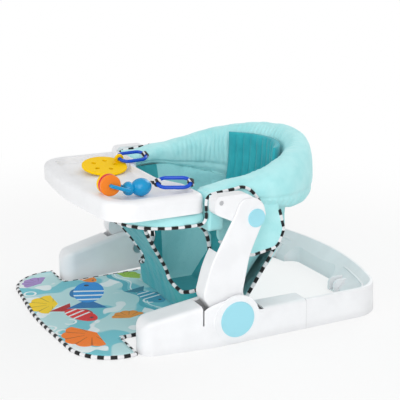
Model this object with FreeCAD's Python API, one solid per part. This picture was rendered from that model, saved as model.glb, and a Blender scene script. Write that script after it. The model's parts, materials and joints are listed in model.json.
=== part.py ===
import FreeCAD
import Part
import math
import os

# Baby floor seat: a folding base with two arms that carry a padded seat ring, a toy tray and a floor mat.
# Millimetres. +X is the seated child's left, +Y the back of the seat, +Z up.
# The origin is on the floor, in the middle of the whole length and width.

V = FreeCAD.Vector
overrun = 20.0          # how far a cut runs past the face it opens
seat_gap = 0.3          # between soft pieces and what they lie on
pin_gap = 0.05          # round a pin in its bore
slide_gap = 0.5         # beside a plate that turns or slides between two walls

# Base
overall_length = 696.0  # mat front to hoop back
base_width = 530.0
hoop_height = 60.0
wall = 3.0
pod_nose_y = -225.0
seam_y = 113.0          # where the pods meet the rear hoop
pod_width = 50.0        # at the seam
pod_hub_width = 54.0
nose_set_in = 20.0      # the nose's outer side, in from the pod's
nose_width = 55.0
nose_height = 62.0
nose_round = 26.0       # plan and side rounding of the nose
pod_edge_round = 9.0
pod_bend_r = 200.0
hub_top_round = 40.0
hub_tail_round = 20.0
hoop_corner_r = 75.0
hoop_bulge_r = 605.0
hoop_lip = 7.0
hoop_draft = 3.0
hoop_slope_width = 46.0
hoop_slope_foot = 14.0
scallop_half = 92.0
scallop_depth = 18.0
scallop_round = 26.0
slot_front_gap = 6.0    # the arm's slot in the pod, before the arm's foot and behind the boss
slot_back_gap = 12.0

# Hubs
hub_y = -41.0
hub_z = 49.0
hub_boss_r = 47.0
hub_boss_proud = 1.5
hub_cap_r = 35.0
hub_cap_thick = 1.6
hub_pin_r = 9.0
hub_flange_r = 20.0
hub_pin_stand = 1.8     # the pod's inner wall leans under the pin's head

# Arms
pivot_y = 2.0
pivot_z = 238.0
arm_set_in = 9.0        # the arm's outer face, in from the pod's
arm_thick = 34.0
arm_inner_thick = 18.0  # of its inner shell
arm_outer_x = base_width / 2 - arm_set_in
arm_inner_x = arm_outer_x - arm_thick
arm_split_x = arm_inner_x + arm_inner_thick
arm_wall = 3.5
arm_edge_round = 3.0
arm_foot_r = 38.0
pivot_pin_r = 6.0
pivot_cap_r = 17.6
pivot_cap_thick = 2.4
fold_angle = 60.0

# Brackets between the arms and the seat ring
bracket_back_r = 24.0
bracket_reach = 84.0
bracket_height = 48.0
bracket_leg_y = -76.0
bracket_leg_depth = 24.0
bracket_leg_z = 254.0
bracket_leg_height = 18.0
bracket_block_in = 20.0 # the block's inner side, in from the ring's tube
bracket_sweep_r = 98.0
bracket_room_turns = (80.0, 260.0)  # degrees about the pivot, 0 back and 90 up
bracket_notch_turns = (90.0, 245.0)
screw_r = 4.5
screw_depth = 2.0
screw_y = -69.0
screw_z = 274.0

# Seat ring
ring_thick = 70.0
ring_side_gap = 1.0     # between the ring's side and the arm
ring_r = arm_inner_x - ring_side_gap - ring_thick / 2
ring_centre_y = 42.0
ring_back_y = ring_centre_y + ring_r
ring_back_thick = 66.0
ring_end_y = -76.0
ring_tube_r = 8.0
ring_tube_z = 250.0
band_tube_r = 6.0
band_y = -205.0
band_corner_r = 85.0
band_width = 36.0
band_height = 25.0
band_round = 9.0

# Tray
tray_side_out = 26.0    # the tray's side, out from the ring's tube
tray_half = ring_r + tray_side_out
tray_corner_y = -264.0
tray_front_y = -284.0
tray_back_y = -78.0
tray_belly_y = -104.0
tray_tip_width = 92.0
tray_belly_half = 60.0
tray_corner_r = 58.0
tray_bow_r = 600.0
tray_tip_r = 22.0
tray_belly_r = 60.0
tray_bottom_z = 247.5
tray_height = 35.5
tray_wall = 3.0
tray_rim = 22.0
tray_belly_rim = 12.0
tray_recess = 14.0
tray_round = 11.0
tray_foot_round = 4.0
tongue_width = 18.0
tongue_height = 7.0
tongue_reach = 17.0
tongue_wall = 7.0       # between the tongue and the block's inner side
tongue_z = 265.5

# Holders inside the rear hoop
cradle_x = 132.0
cradle_gap = 14.0
cradle_wall = 5.0
cradle_set_in = 30.0    # in from the hoop's back
cradle_length = 56.0
cradle_back_y = overall_length / 2 - cradle_set_in
cradle_front_y = cradle_back_y - cradle_length
cradle_low_z = 6.0
cradle_high_z = 34.0
cradle_round = 12.0

# Fabric
cloth = 4.0
piping_r = 3.0
mat_half = 250.0
mat_front_out = 2.0     # the bow's corner, out from the bow itself
mat_bow_drop = 19.0     # from the bow's corner back to the side corners
mat_horn_gap = 4.0      # between the mat's horns and the pods' noses
mat_front_y = -overall_length / 2 - mat_front_out
mat_side_y = mat_front_y + mat_bow_drop
mat_back_y = pod_nose_y - mat_horn_gap
mat_horn_r = 8.0
mat_front_r = min(92.0, mat_back_y - mat_side_y - mat_horn_r - seat_gap)
mat_bow_r = 700.0
mat_pod_gap = 22.0      # between the mat's waist and the noses, with the mat in the middle
mat_waist_half = base_width / 2 - nose_set_in - nose_width - mat_pod_gap
mat_waist_y = 20.0
mat_waist_r = 12.0
mat_thick = 8.0
mat_shift = -14.0       # the loose mat lies a little to one side
pouch_front_r = 60.0
leg_hole_half = 54.0
leg_hole_low_z = 52.0
leg_hole_high_z = 222.0
leg_hole_round = 50.0
leg_hole_in = 78.0      # the leg opening's middle, in from the ring's tube
leg_hole_x = ring_r - leg_hole_in
leg_hole_y = -80.0
leg_hole_turn = 34.0    # degrees outwards from straight ahead
flap_out = 10.0         # the flap, out from the ring's tube
flap_x = ring_r + flap_out
panel_thick = 5.0
back_pad_half = 100.0
back_pad_sag = 50.0
back_pad_thick = 12.0
back_pad_channel = 4.0
back_pad_channels = 6

# Toys
wire_r = 3.6
link_length = 62.0      # along the middle of the wire
link_width = 32.0
link_z = 292.5
link_tilt = 20.0
link_right_x = -97.0
link_right_y = -97.0
link_right_turn = 5.0
link_left_x = 143.0
link_left_y = -112.0
link_left_turn = -26.0
disc_r = 47.0
disc_thick = 5.0
disc_x = -88.0
disc_y = -163.0
disc_z = 281.0
disc_tilt = 10.0
disc_hole_r = 5.0
disc_holes = 5
disc_hole_share = 0.5   # of the disc's radius
disc_turn_share = 0.2   # of the step from hole to hole
eyelet_r = 9.5
eyelet_hole_r = 4.7
eyelet_thick = 5.0
rattle_x = 124.0
rattle_z = 286.5
rattle_back_y = -150.0
rattle_length = 58.0
rattle_r = 16.5
rattle_neck_r = 9.0
rattle_front_r = 13.0
axle_y = -236.0
axle_z = 299.0
axle_r = 3.5
axle_half = 17.0
ring_toy_r = 20.0
ring_toy_thick = 8.0
strap_width = 10.0
strap_thick = 1.6
strap_loop_r = 5.2


def box(x0, x1, y0, y1, z0, z1):
    return Part.makeBox(x1 - x0, y1 - y0, z1 - z0, V(x0, y0, z0))


def rounded(corners, place):
    """A closed wire through corners (u, v, radius), each rounded by its radius."""
    edges = []
    cut = []
    count = len(corners)
    for i in range(count):
        before = V(*corners[i - 1][:2], 0)
        here = V(*corners[i][:2], 0)
        after = V(*corners[(i + 1) % count][:2], 0)
        to_before = (before - here).normalize()
        to_after = (after - here).normalize()
        half = to_before.getAngle(to_after) / 2
        radius = corners[i][2]
        if radius == 0:
            cut.append((here, here, here))
            continue
        tangent = radius / math.tan(half)
        middle = (to_before + to_after).normalize()
        centre = here + middle * (radius / math.sin(half))
        cut.append((here + to_before * tangent, centre - middle * radius, here + to_after * tangent))
    for i in range(count):
        start, mid, end = cut[i]
        if (start - end).Length > 0:
            edges.append(Part.Arc(place(start), place(mid), place(end)).toShape())
        following = cut[(i + 1) % count][0]
        if (end - following).Length > seat_gap / 100:
            edges.append(Part.LineSegment(place(end), place(following)).toShape())
    return Part.Wire(edges)


def at_z(z):
    return lambda p: V(p.x, p.y, z)


def at_x(x):
    return lambda p: V(x, p.x, p.y)


def slab(corners, z0, z1):
    return Part.Face(rounded(corners, at_z(z0))).extrude(V(0, 0, z1 - z0))


def plate(corners, x0, x1):
    return Part.Face(rounded(corners, at_x(x0))).extrude(V(x1 - x0, 0, 0))


def rod(x0, x1, y, z, r):
    return Part.makeCylinder(r, x1 - x0, V(x0, y, z), V(1, 0, 0))


def mirrored(shape):
    return shape.mirror(V(0, 0, 0), V(1, 0, 0))


def save(name, shape):
    os.makedirs("parts", exist_ok=True)
    if not shape.isValid():
        print("not valid:", name)
    shape.exportStep("parts/" + name + ".step")


def save_pair(name, shape):
    save(name + "_left", shape)
    save(name + "_right", mirrored(shape))


# Base


def top_edges(body, low):
    """Edges above low where a standing face meets a lying one."""
    found = []
    for edge in body.Edges:
        if edge.BoundBox.ZMin < low:
            continue
        middle = edge.valueAt((edge.FirstParameter + edge.LastParameter) / 2)
        upright = []
        for face in body.Faces:
            if any(edge.isSame(other) for other in face.Edges):
                upright.append(abs(face.normalAt(*face.Surface.parameter(middle)).z) < pin_gap)
        if len(upright) == 2 and upright[0] != upright[1]:
            found.append(edge)
    return found


def pod_body(inset):
    half = base_width / 2 - inset
    plan = [
        (half, seam_y - inset, 0),
        (half, hub_y - hub_boss_r, pod_bend_r),
        (base_width / 2 - nose_set_in - inset, pod_nose_y + inset, nose_round - inset),
        (base_width / 2 - nose_set_in - nose_width + inset, pod_nose_y + inset, nose_round - inset),
        (base_width / 2 - pod_hub_width + inset, hub_y, pod_bend_r),
        (base_width / 2 - pod_width + inset, seam_y - inset, 0),
    ]
    low = -overrun if inset else 0
    side = [
        (seam_y - inset, low, 0),
        (pod_nose_y + inset, low, 0),
        (pod_nose_y + inset, nose_height - inset, nose_round - inset),
        (hub_y, hub_z + hub_boss_r - inset, hub_top_round - inset),
        (hub_y + hub_boss_r + wall, hoop_height - inset, hub_tail_round + inset),
        (seam_y - inset, hoop_height - inset, 0),
    ]
    body = slab(plan, low, hub_z + 2 * hub_boss_r).common(plate(side, 0, base_width))
    rim = [e for e in top_edges(body, nose_round) if e.BoundBox.YMin < seam_y - 2 * wall]
    return body.makeFillet(pod_edge_round - inset, rim)


def side_pod():
    body = pod_body(0)
    outer = base_width / 2
    inner = outer - pod_hub_width
    boss = rod(outer - wall, outer + hub_boss_proud, hub_y, hub_z, hub_boss_r)
    flange = rod(inner + wall, arm_inner_x - slide_gap, hub_y, hub_z, hub_flange_r)
    outer_flange = rod(arm_outer_x + slide_gap, outer - wall, hub_y, hub_z, hub_flange_r)
    slot = box(
        arm_inner_x - wall,
        outer - wall,
        hub_y - 2 * arm_foot_r + slot_front_gap,
        hub_y + hub_boss_r + slot_back_gap,
        hub_z - wall,
        hub_z + 2 * hub_boss_r,
    )
    pod = body.cut(pod_body(wall)).cut(slot)
    pod = pod.fuse([boss, flange, outer_flange])
    return pod.cut(rod(0, outer + overrun, hub_y, hub_z, hub_pin_r + pin_gap))


def hoop_outline(inset, z):
    """The rear hoop in plan: straight sides, round corners and a bowed back."""
    half = base_width / 2 - inset
    corner_r = hoop_corner_r - inset
    bulge_r = hoop_bulge_r - inset
    back_y = overall_length / 2 - inset
    bulge_y = back_y - bulge_r
    reach = bulge_r - corner_r
    corner_x = half - corner_r
    corner_y = bulge_y + math.sqrt(reach**2 - corner_x**2)
    turn = math.atan2(corner_y - bulge_y, corner_x)
    meet = V(bulge_r * math.cos(turn), bulge_y + bulge_r * math.sin(turn), z)
    middle = V(corner_x + corner_r * math.cos(turn / 2), corner_y + corner_r * math.sin(turn / 2), z)
    front = seam_y
    edges = [
        Part.LineSegment(V(half, front, z), V(half, corner_y, z)).toShape(),
        Part.Arc(V(half, corner_y, z), middle, meet).toShape(),
        Part.Arc(meet, V(0, back_y, z), V(-meet.x, meet.y, z)).toShape(),
        Part.Arc(V(-meet.x, meet.y, z), V(-middle.x, middle.y, z), V(-half, corner_y, z)).toShape(),
        Part.LineSegment(V(-half, corner_y, z), V(-half, front, z)).toShape(),
        Part.LineSegment(V(-half, front, z), V(half, front, z)).toShape(),
    ]
    return Part.Wire(edges)


def hoop_loft(low_inset, low_z, high_inset, high_z):
    return Part.makeLoft([hoop_outline(low_inset, low_z), hoop_outline(high_inset, high_z)], True, True)


def hoop_bowl(skin):
    """The open middle of the hoop, grown smaller by the skin that lines it."""
    top = hoop_height - (wall if skin else -overrun)
    lip = hoop_lip + hoop_draft - skin
    slope = hoop_slope_width / (hoop_height - hoop_slope_foot)
    foot = lip + slope * (hoop_height - hoop_slope_foot)
    high = lip - slope * (top - hoop_height)
    bowl = hoop_loft(foot, hoop_slope_foot - skin, high, top)
    return bowl.fuse(hoop_loft(foot, -overrun, foot, hoop_slope_foot - skin))


def hoop_scallop(skin):
    """The long recess in the back of the bowl, between the two horns."""
    back = overall_length / 2
    inner = back - hoop_lip - hoop_slope_width
    half = scallop_half + skin
    corners = [
        (half, inner - 2 * scallop_depth, 0),
        (half, inner + scallop_depth + skin, scallop_round),
        (-half, inner + scallop_depth + skin, scallop_round),
        (-half, inner - 2 * scallop_depth, 0),
    ]
    return slab(corners, -overrun, hoop_height - 2 * hoop_lip)


def rear_hoop():
    body = hoop_loft(0, 0, hoop_draft, hoop_height)
    rim = [e for e in body.Edges if e.BoundBox.ZMin > hoop_height - wall and e.BoundBox.YMax > seam_y + wall]
    body = body.makeFillet(wall, rim)
    hollow = hoop_loft(wall, -overrun, wall + hoop_draft, hoop_height - wall)
    seam = (-base_width, base_width, seam_y - wall, seam_y + wall)
    hollow = hollow.cut(box(*seam, -2 * overrun, 2 * hoop_height))
    hollow = hollow.cut(hoop_bowl(wall).fuse(hoop_scallop(wall)))
    middle = hoop_bowl(0).fuse(hoop_scallop(0))
    front = box(*seam, -overrun, 2 * hoop_height)
    return body.cut(middle).cut(hollow).cut(front.common(middle))


def hub_cap():
    x = base_width / 2 + hub_boss_proud
    cap = rod(x, x + hub_cap_thick, hub_y, hub_z, hub_cap_r)
    rim = [e for e in cap.Edges if e.BoundBox.XMin > x + hub_cap_thick / 2]
    return cap.makeChamfer(hub_cap_thick / 3, rim)


def hub_pin():
    x = base_width / 2
    seat_x = x - pod_hub_width - hub_pin_stand
    head = rod(seat_x - wall, seat_x, hub_y, hub_z, hub_pin_r + wall)
    return head.fuse(rod(seat_x, x + hub_boss_proud, hub_y, hub_z, hub_pin_r))


# Arms

# Corners of the arm's outline from the side, from its front foot over the head and back: y, z, rounding
arm_corners = [
    (-108.0, 100.0, 25.0),
    (-92.0, 158.0, 200.0),
    (-40.0, 252.0, 30.0),
    (-30.0, 277.0, 22.0),
    (26.0, 277.0, 30.0),
    (20.0, 235.0, 40.0),
    (-10.0, 168.0, 150.0),
    (-25.0, 92.0, 20.0),
    (hub_y + arm_foot_r, 70.0, 15.0),
    (hub_y + arm_foot_r, hub_z - arm_foot_r, arm_foot_r - 1.0),
    (hub_y - arm_foot_r, hub_z - arm_foot_r, arm_foot_r - 1.0),
    (-84.0, 60.0, 30.0),
]


def arm_solid(x0, x1, inset):
    wire = rounded(arm_corners, at_x(x0))
    if inset:
        wire = wire.makeOffset2D(-inset)
    return Part.Face(wire).extrude(V(x1 - x0, 0, 0))


def wedge(x0, x1, r, start, end):
    """A slice about the pivot, from start to end degrees, where 0 points back and 90 up."""
    arc = [math.radians(start + (end - start) * share) for share in (0, 0.5, 1)]
    points = [V(x0, pivot_y + r * math.cos(a), pivot_z + r * math.sin(a)) for a in arc]
    centre = V(x0, pivot_y, pivot_z)
    wire = Part.Wire([
        Part.LineSegment(centre, points[0]).toShape(),
        Part.Arc(*points).toShape(),
        Part.LineSegment(points[2], centre).toShape(),
    ])
    return Part.Face(wire).extrude(V(x1 - x0, 0, 0))


def bracket_room():
    """The room inside an arm's head that the bracket needs while the seat folds."""
    x0 = arm_inner_x + arm_wall
    x1 = arm_outer_x - arm_wall
    room = rod(x0, x1, pivot_y, pivot_z, bracket_back_r + 2 * slide_gap)
    return room.fuse(wedge(x0, x1, bracket_sweep_r, *bracket_room_turns))


def arm_outer():
    shell = arm_solid(arm_split_x, arm_outer_x, 0)
    rim = [e for e in shell.Edges if e.BoundBox.XMin > arm_outer_x - arm_wall]
    shell = shell.makeFillet(arm_edge_round, rim)
    shell = shell.cut(arm_solid(arm_split_x - arm_wall, arm_outer_x - arm_wall, arm_wall))
    shell = shell.fuse(rod(arm_split_x, arm_outer_x - arm_wall, hub_y, hub_z, hub_flange_r))
    shell = shell.cut(bracket_room())
    shell = shell.cut(rod(0, base_width, hub_y, hub_z, hub_pin_r + pin_gap))
    return shell.cut(rod(0, base_width, pivot_y, pivot_z, pivot_pin_r))


def arm_inner():
    shell = arm_solid(arm_inner_x, arm_split_x, 0)
    shell = shell.cut(arm_solid(arm_inner_x + arm_wall, arm_split_x + arm_wall, arm_wall))
    shell = shell.fuse(rod(arm_inner_x + arm_wall, arm_split_x, hub_y, hub_z, hub_flange_r))
    notch = wedge(arm_inner_x - arm_wall, arm_split_x + arm_wall, bracket_sweep_r, *bracket_notch_turns)
    notch = notch.cut(rod(0, base_width, pivot_y, pivot_z, bracket_back_r + arm_wall))
    shell = shell.cut(notch).cut(bracket_room())
    shell = shell.cut(rod(0, base_width, hub_y, hub_z, hub_pin_r + pin_gap))
    return shell.cut(rod(0, base_width, pivot_y, pivot_z, pivot_pin_r))


def pivot_pin():
    return rod(arm_inner_x, arm_outer_x, pivot_y, pivot_z, pivot_pin_r)


def pivot_cap():
    cap = rod(arm_outer_x, arm_outer_x + pivot_cap_thick, pivot_y, pivot_z, pivot_cap_r)
    rim = [e for e in cap.Edges if e.BoundBox.XMin > arm_outer_x + pivot_cap_thick / 2]
    return cap.makeFillet(pivot_cap_thick / 2, rim)


# Seat ring

bracket_x0 = arm_inner_x + arm_wall + slide_gap
bracket_x1 = arm_outer_x - arm_wall - slide_gap
bracket_front_y = pivot_y - bracket_reach
bracket_top_z = pivot_z + bracket_height
bracket_block_x = ring_r - bracket_block_in
tongue_x = bracket_block_x + tongue_wall + tongue_width / 2
band_z = tray_bottom_z - seat_gap - band_height / 2


def bracket():
    corners = [
        (bracket_front_y, bracket_top_z, 12.0),
        (pivot_y - bracket_back_r * 3 / 5, bracket_top_z, 30.0),
        (pivot_y + bracket_back_r, pivot_z + bracket_back_r / 3, 14.0),
        (pivot_y + bracket_back_r / 2, pivot_z - bracket_back_r, 16.0),
        (pivot_y - bracket_back_r * 3 / 4, pivot_z - bracket_back_r * 2 / 3, 12.0),
        (bracket_front_y, bracket_leg_z, 12.0),
    ]
    body = plate(corners, bracket_x0, bracket_x1)
    body = body.cut(rod(bracket_x1 - screw_depth, bracket_x1 + wall, screw_y, screw_z, screw_r + pin_gap))
    block_x1 = arm_inner_x - 2 * slide_gap
    block_z0 = band_z - band_tube_r - wall
    body = body.fuse([bracket_leg(0), bracket_block(0, block_x1, block_z0)])
    body = body.cut(rod(0, base_width, pivot_y, pivot_z, pivot_pin_r + pin_gap))
    body = body.cut(ring_tube(ring_tube_r + pin_gap)).cut(band_tube(band_tube_r + pin_gap))
    socket = tongue(slide_gap)
    return body.cut(socket)


def bracket_screw():
    return rod(bracket_x1 - screw_depth, bracket_x1 - slide_gap, screw_y, screw_z, screw_r)


def bracket_leg(gap):
    """The bar from the bracket in under the seat ring, grown by a gap."""
    return box(
        bracket_block_x - gap,
        bracket_x0,
        bracket_leg_y - gap,
        bracket_leg_y + bracket_leg_depth + gap,
        bracket_leg_z - gap,
        bracket_leg_z + bracket_leg_height + gap,
    )


def bracket_block(gap, x1, z0):
    """The block that grips the ends of both tubes."""
    y1 = bracket_leg_y + bracket_leg_depth + gap
    return box(bracket_block_x - gap, x1 + gap, bracket_leg_y - gap, y1, z0 - gap, bracket_leg_z)


def tube_path(y0, bend_y, z):
    """Half a hoop: out along one side, round and back."""
    turn = ring_r if bend_y > y0 else band_corner_r
    sign = 1 if bend_y > y0 else -1
    corner = bend_y - sign * turn
    side = V(ring_r, y0, z)
    points = [side, V(ring_r, corner, z)]
    mid = turn * (1 - math.cos(math.radians(45)))
    edges = [Part.LineSegment(*points).toShape()]
    inner = ring_r - turn
    middle_y = bend_y - sign * mid
    edges.append(Part.Arc(points[1], V(ring_r - mid, middle_y, z), V(inner, bend_y, z)).toShape())
    if inner > 0:
        edges.append(Part.LineSegment(V(inner, bend_y, z), V(-inner, bend_y, z)).toShape())
    far = Part.Arc(V(-inner, bend_y, z), V(mid - ring_r, middle_y, z), V(-ring_r, corner, z))
    edges.append(far.toShape())
    edges.append(Part.LineSegment(V(-ring_r, corner, z), V(-ring_r, y0, z)).toShape())
    return Part.Wire(edges)


def ring_tube(r):
    """The steel hoop inside the back of the seat ring."""
    path = tube_path(bracket_leg_y, ring_back_y, ring_tube_z)
    start = V(ring_r, bracket_leg_y, ring_tube_z)
    return path.makePipeShell([Part.Wire(Part.makeCircle(r, start, V(0, 1, 0)))], True, False)


def band_tube(r):
    """The steel hoop inside the front band."""
    y0 = bracket_leg_y + bracket_leg_depth / 2
    start = V(ring_r, y0, band_z)
    circle = Part.Wire(Part.makeCircle(r, start, V(0, 1, 0)))
    return tube_path(y0, band_y, band_z).makePipeShell([circle], True, False)


# Each station of the padded ring: distance back along the side or degrees round the back,
# lowest and highest point
ring_side_stations = [
    (ring_end_y, 250.0, 284.0),
    (-20.0, 254.0, 293.0),
]
ring_back_stations = [
    (0.0, 240.0, 300.0),
    (30.0, 219.0, 321.0),
    (60.0, 206.0, 337.0),
    (90.0, 202.0, 343.0),
]
oval_share = 0.354      # where the rounded corners of an oval section lie


def oval(centre, out, thick, low, high):
    """A soft oval section of four arcs, standing across the ring."""
    middle = (low + high) / 2
    tall = high - low

    def point(across, up):
        p = centre + out * (thick * across)
        return V(p.x, p.y, middle + tall * up)

    s = oval_share
    edges = [
        Part.Arc(point(s, -s), point(0.5, 0), point(s, s)).toShape(),
        Part.Arc(point(s, s), point(0, 0.5), point(-s, s)).toShape(),
        Part.Arc(point(-s, s), point(-0.5, 0), point(-s, -s)).toShape(),
        Part.Arc(point(-s, -s), point(0, -0.5), point(s, -s)).toShape(),
    ]
    return Part.Wire(edges)


def ring_pad():
    sections = []
    for y, low, high in ring_side_stations:
        sections.append(oval(V(ring_r, y, 0), V(1, 0, 0), ring_thick, low, high))
    far_stations = [(180 - a, low, high) for a, low, high in reversed(ring_back_stations[:-1])]
    stations = ring_back_stations + far_stations
    for angle, low, high in stations:
        out = V(math.cos(math.radians(angle)), math.sin(math.radians(angle)), 0)
        thick = ring_thick + (ring_back_thick - ring_thick) * out.y
        sections.append(oval(V(0, ring_centre_y, 0) + out * ring_r, out, thick, low, high))
    for y, low, high in reversed(ring_side_stations):
        sections.append(oval(V(-ring_r, y, 0), V(-1, 0, 0), ring_thick, low, high))
    pad = Part.makeLoft(sections, True, False)
    leg = bracket_leg(seat_gap).fuse(bracket_block(seat_gap, arm_inner_x, ring_tube_z - ring_tube_r - wall))
    pad = pad.cut(ring_tube(ring_tube_r + seat_gap)).cut(leg.fuse(mirrored(leg)))
    groove = piping(arch_points, piping_r + seat_gap)
    return biggest(pad.cut(groove).cut(mirrored(groove)))


# Places of the piping over the arm's head, on the side of the seat ring: out from the ring's tube, y, z
arch_places = [
    (29.5, -81.5, 250.0),
    (29.5, -81.5, 265.0),
    (30.0, -79.0, 275.0),
    (30.0, -70.0, 280.0),
    (30.0, -56.0, 281.0),
    (31.0, -22.0, 283.0),
    (30.0, -3.0, 285.0),
    (32.0, 15.0, 275.0),
    (31.0, 32.0, 255.0),
    (22.0, 41.0, 242.0),
]
arch_points = [V(ring_r + out, y, z) for out, y, z in arch_places]


def piping(points, r):
    """A round cord that runs smoothly through the points."""
    curve = Part.BSplineCurve()
    curve.interpolate(points)
    path = Part.Wire(curve.toShape())
    along = curve.tangent(curve.FirstParameter)[0]
    return path.makePipeShell([Part.Wire(Part.makeCircle(r, points[0], along))], True, False)


def biggest(shape):
    """The main solid of a shape, without loose chips."""
    return max(shape.Solids, key=lambda solid: solid.Volume)


def front_band():
    """The padded cover round the front tube, under the tray."""
    start_y = bracket_leg_y - seat_gap
    half = band_width / 2
    tall = band_height / 2
    corners = [
        (ring_r + half, band_z - tall, band_round),
        (ring_r + half, band_z + tall, band_round),
        (ring_r - half, band_z + tall, band_round),
        (ring_r - half, band_z - tall, band_round),
    ]
    section = rounded(corners, lambda p: V(p.x, start_y, p.y))
    band = tube_path(start_y, band_y, band_z).makePipeShell([section], True, False)
    return band.cut(band_tube(band_tube_r + seat_gap))


# Tray


def tray_outline(inset, belly_inset):
    half = tray_half - inset
    tip = tray_back_y - belly_inset
    tip_inner = tray_half - tray_tip_width + belly_inset
    return [
        (half, tip, tray_tip_r - min(inset, tray_tip_r / 2)),
        (half, tray_corner_y + inset, tray_corner_r - inset),
        (0, tray_front_y + inset, tray_bow_r - inset),
        (-half, tray_corner_y + inset, tray_corner_r - inset),
        (-half, tip, tray_tip_r - min(inset, tray_tip_r / 2)),
        (-tip_inner, tip, tray_tip_r - min(inset, tray_tip_r / 2)),
        (-tray_belly_half, tray_belly_y - belly_inset, tray_belly_r),
        (tray_belly_half, tray_belly_y - belly_inset, tray_belly_r),
        (tip_inner, tip, tray_tip_r - min(inset, tray_tip_r / 2)),
    ]


def tray_shell():
    z0 = tray_bottom_z
    z1 = z0 + tray_height
    body = slab(tray_outline(0, 0), z0, z1)
    top = [e for e in body.Edges if e.BoundBox.ZMin > z1 - tray_wall]
    body = body.makeFillet(tray_round, top)
    floor_z = z1 - tray_recess
    recess = slab(tray_outline(tray_rim, tray_belly_rim), floor_z, z1 + overrun)
    low = [e for e in recess.Edges if e.BoundBox.ZMax < floor_z + tray_wall]
    recess = recess.makeFillet(tray_foot_round, low)
    under = slab(tray_outline(tray_wall, tray_wall), z0 - overrun, floor_z - tray_wall)
    return body.cut(recess).cut(under)


def tongue(gap):
    """The tongue at a rear tip of the tray that slides into the bracket's bar, grown by a gap."""
    half = tongue_width / 2 + gap
    tall = tongue_height / 2 + gap
    y0 = tray_back_y if gap == 0 else bracket_leg_y - overrun
    y1 = bracket_leg_y + tongue_reach + gap
    return box(tongue_x - half, tongue_x + half, y0, y1, tongue_z - tall, tongue_z + tall)


def tube_cradle():
    """A pair of ears on the inside of the rear hoop that hold a tube between them."""
    x0 = cradle_x - cradle_gap / 2 - cradle_wall
    corners = [
        (cradle_front_y, cradle_low_z, wall),
        (cradle_back_y, cradle_low_z, wall),
        (cradle_back_y, cradle_high_z, wall),
        (cradle_front_y, cradle_high_z, cradle_round),
    ]
    ear = plate(corners, x0, x0 + cradle_wall)
    other = ear.translated(V(cradle_gap + cradle_wall, 0, 0))
    floor_z = cradle_low_z + wall
    x1 = x0 + cradle_gap + 2 * cradle_wall
    bed = box(x0, x1, cradle_front_y + wall, cradle_back_y, cradle_low_z, floor_z)
    return biggest(ear.fuse([other, bed]).common(hoop_bowl(-seat_gap)))


# Fabric


def floor_mat(inset):
    half = mat_half - inset
    back = mat_back_y - inset
    front = mat_front_y + inset
    side = mat_side_y + inset
    waist = mat_waist_half - inset
    corners = [
        (half, back, mat_horn_r - inset),
        (half, side, mat_front_r - inset),
        (0, front, mat_bow_r - inset),
        (-half, side, mat_front_r - inset),
        (-half, back, mat_horn_r - inset),
        (-waist, back, mat_waist_r + inset),
        (-waist, mat_waist_y - inset, mat_waist_r),
        (waist, mat_waist_y - inset, mat_waist_r),
        (waist, back, mat_waist_r + inset),
    ]
    return [(x + mat_shift, y, r) for x, y, r in corners]


def mat():
    return slab(floor_mat(2 * piping_r + seat_gap), 0, mat_thick)


def mat_piping():
    path = rounded(floor_mat(piping_r), at_z(mat_thick / 2))
    edge = path.Edges[0]
    start = edge.valueAt(edge.FirstParameter)
    along = edge.tangentAt(edge.FirstParameter)
    return path.makePipeShell([Part.Wire(Part.makeCircle(piping_r, start, along))], True, False)


# Heights of the pouch's rings of cloth, with their sides in from the ring's tube, their fronts,
# and their backs in from the back of the ring's tube
pouch_levels = [
    (238.0, 36.0, -186.5, 41.0),
    (200.0, 39.0, -166.0, 44.0),
    (150.0, 43.0, -132.0, 74.0),
    (100.0, 47.0, -100.0, 116.0),
    (50.0, 50.0, -84.0, 158.0),
    (8.3, 52.0, -76.0, 190.0),
]


def pouch_ring(level, inset, z):
    x = ring_r - level[1] - inset
    front = level[2] + inset
    back = ring_back_y - level[3] - inset
    depth = back - front
    front_r = min(pouch_front_r, depth / 3)
    back_r = min(x - cloth, depth - front_r - cloth)
    corners = [(x, front, front_r), (x, back, back_r), (-x, back, back_r), (-x, front, front_r)]
    return rounded(corners, at_z(z))


leg_along = V(math.sin(math.radians(leg_hole_turn)), -math.cos(math.radians(leg_hole_turn)), 0)
leg_across = V(math.cos(math.radians(leg_hole_turn)), math.sin(math.radians(leg_hole_turn)), 0)


leg_points = 13


def leg_profile(inset):
    """The outline of a leg opening, standing across the way the leg goes."""
    half = leg_hole_half - inset
    low = leg_hole_low_z + inset
    high = leg_hole_high_z - inset
    r = leg_hole_round - inset
    corners = [(half, low, r), (half, high, r), (-half, high, r), (-half, low, r)]
    start = V(leg_hole_x, leg_hole_y, 0) - leg_along * leg_hole_half
    return rounded(corners, lambda p: start + leg_across * p.x + V(0, 0, p.y))


def pouch_body():
    return Part.makeLoft([pouch_ring(level, 0, level[0]) for level in pouch_levels], True, False)


def seat_pouch():
    heights = [level[0] for level in pouch_levels]
    heights[-1] += cloth
    rings = [pouch_ring(level, cloth, z) for level, z in zip(pouch_levels, heights)]
    inner = Part.makeLoft(rings, True, False)
    pad_z = back_pad_levels[-1][0] - seat_gap
    under_pad = box(-mat_half, mat_half, ring_centre_y + 2 * cloth, mat_half, pad_z, ring_tube_z)
    hole = Part.Face(leg_profile(0)).extrude(leg_along * (2 * mat_half))
    return pouch_body().cut(inner).cut(under_pad).cut(hole).cut(mirrored(hole))


def leg_piping(r):
    """The cord round a leg opening, laid on the pouch; its ends run out at the bottom seam."""
    body = pouch_body()
    points = []
    for p in leg_profile(piping_r + cloth / 2).discretize(leg_points)[:-1]:
        ray = Part.LineSegment(p, p + leg_along * (2 * mat_half)).toShape().common(body)
        ends = [v.Point for v in ray.Vertexes]
        points.append(max(ends, key=lambda q: (q - p).Length) - leg_along * (cloth / 2))
    return piping(points, r)


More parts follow.
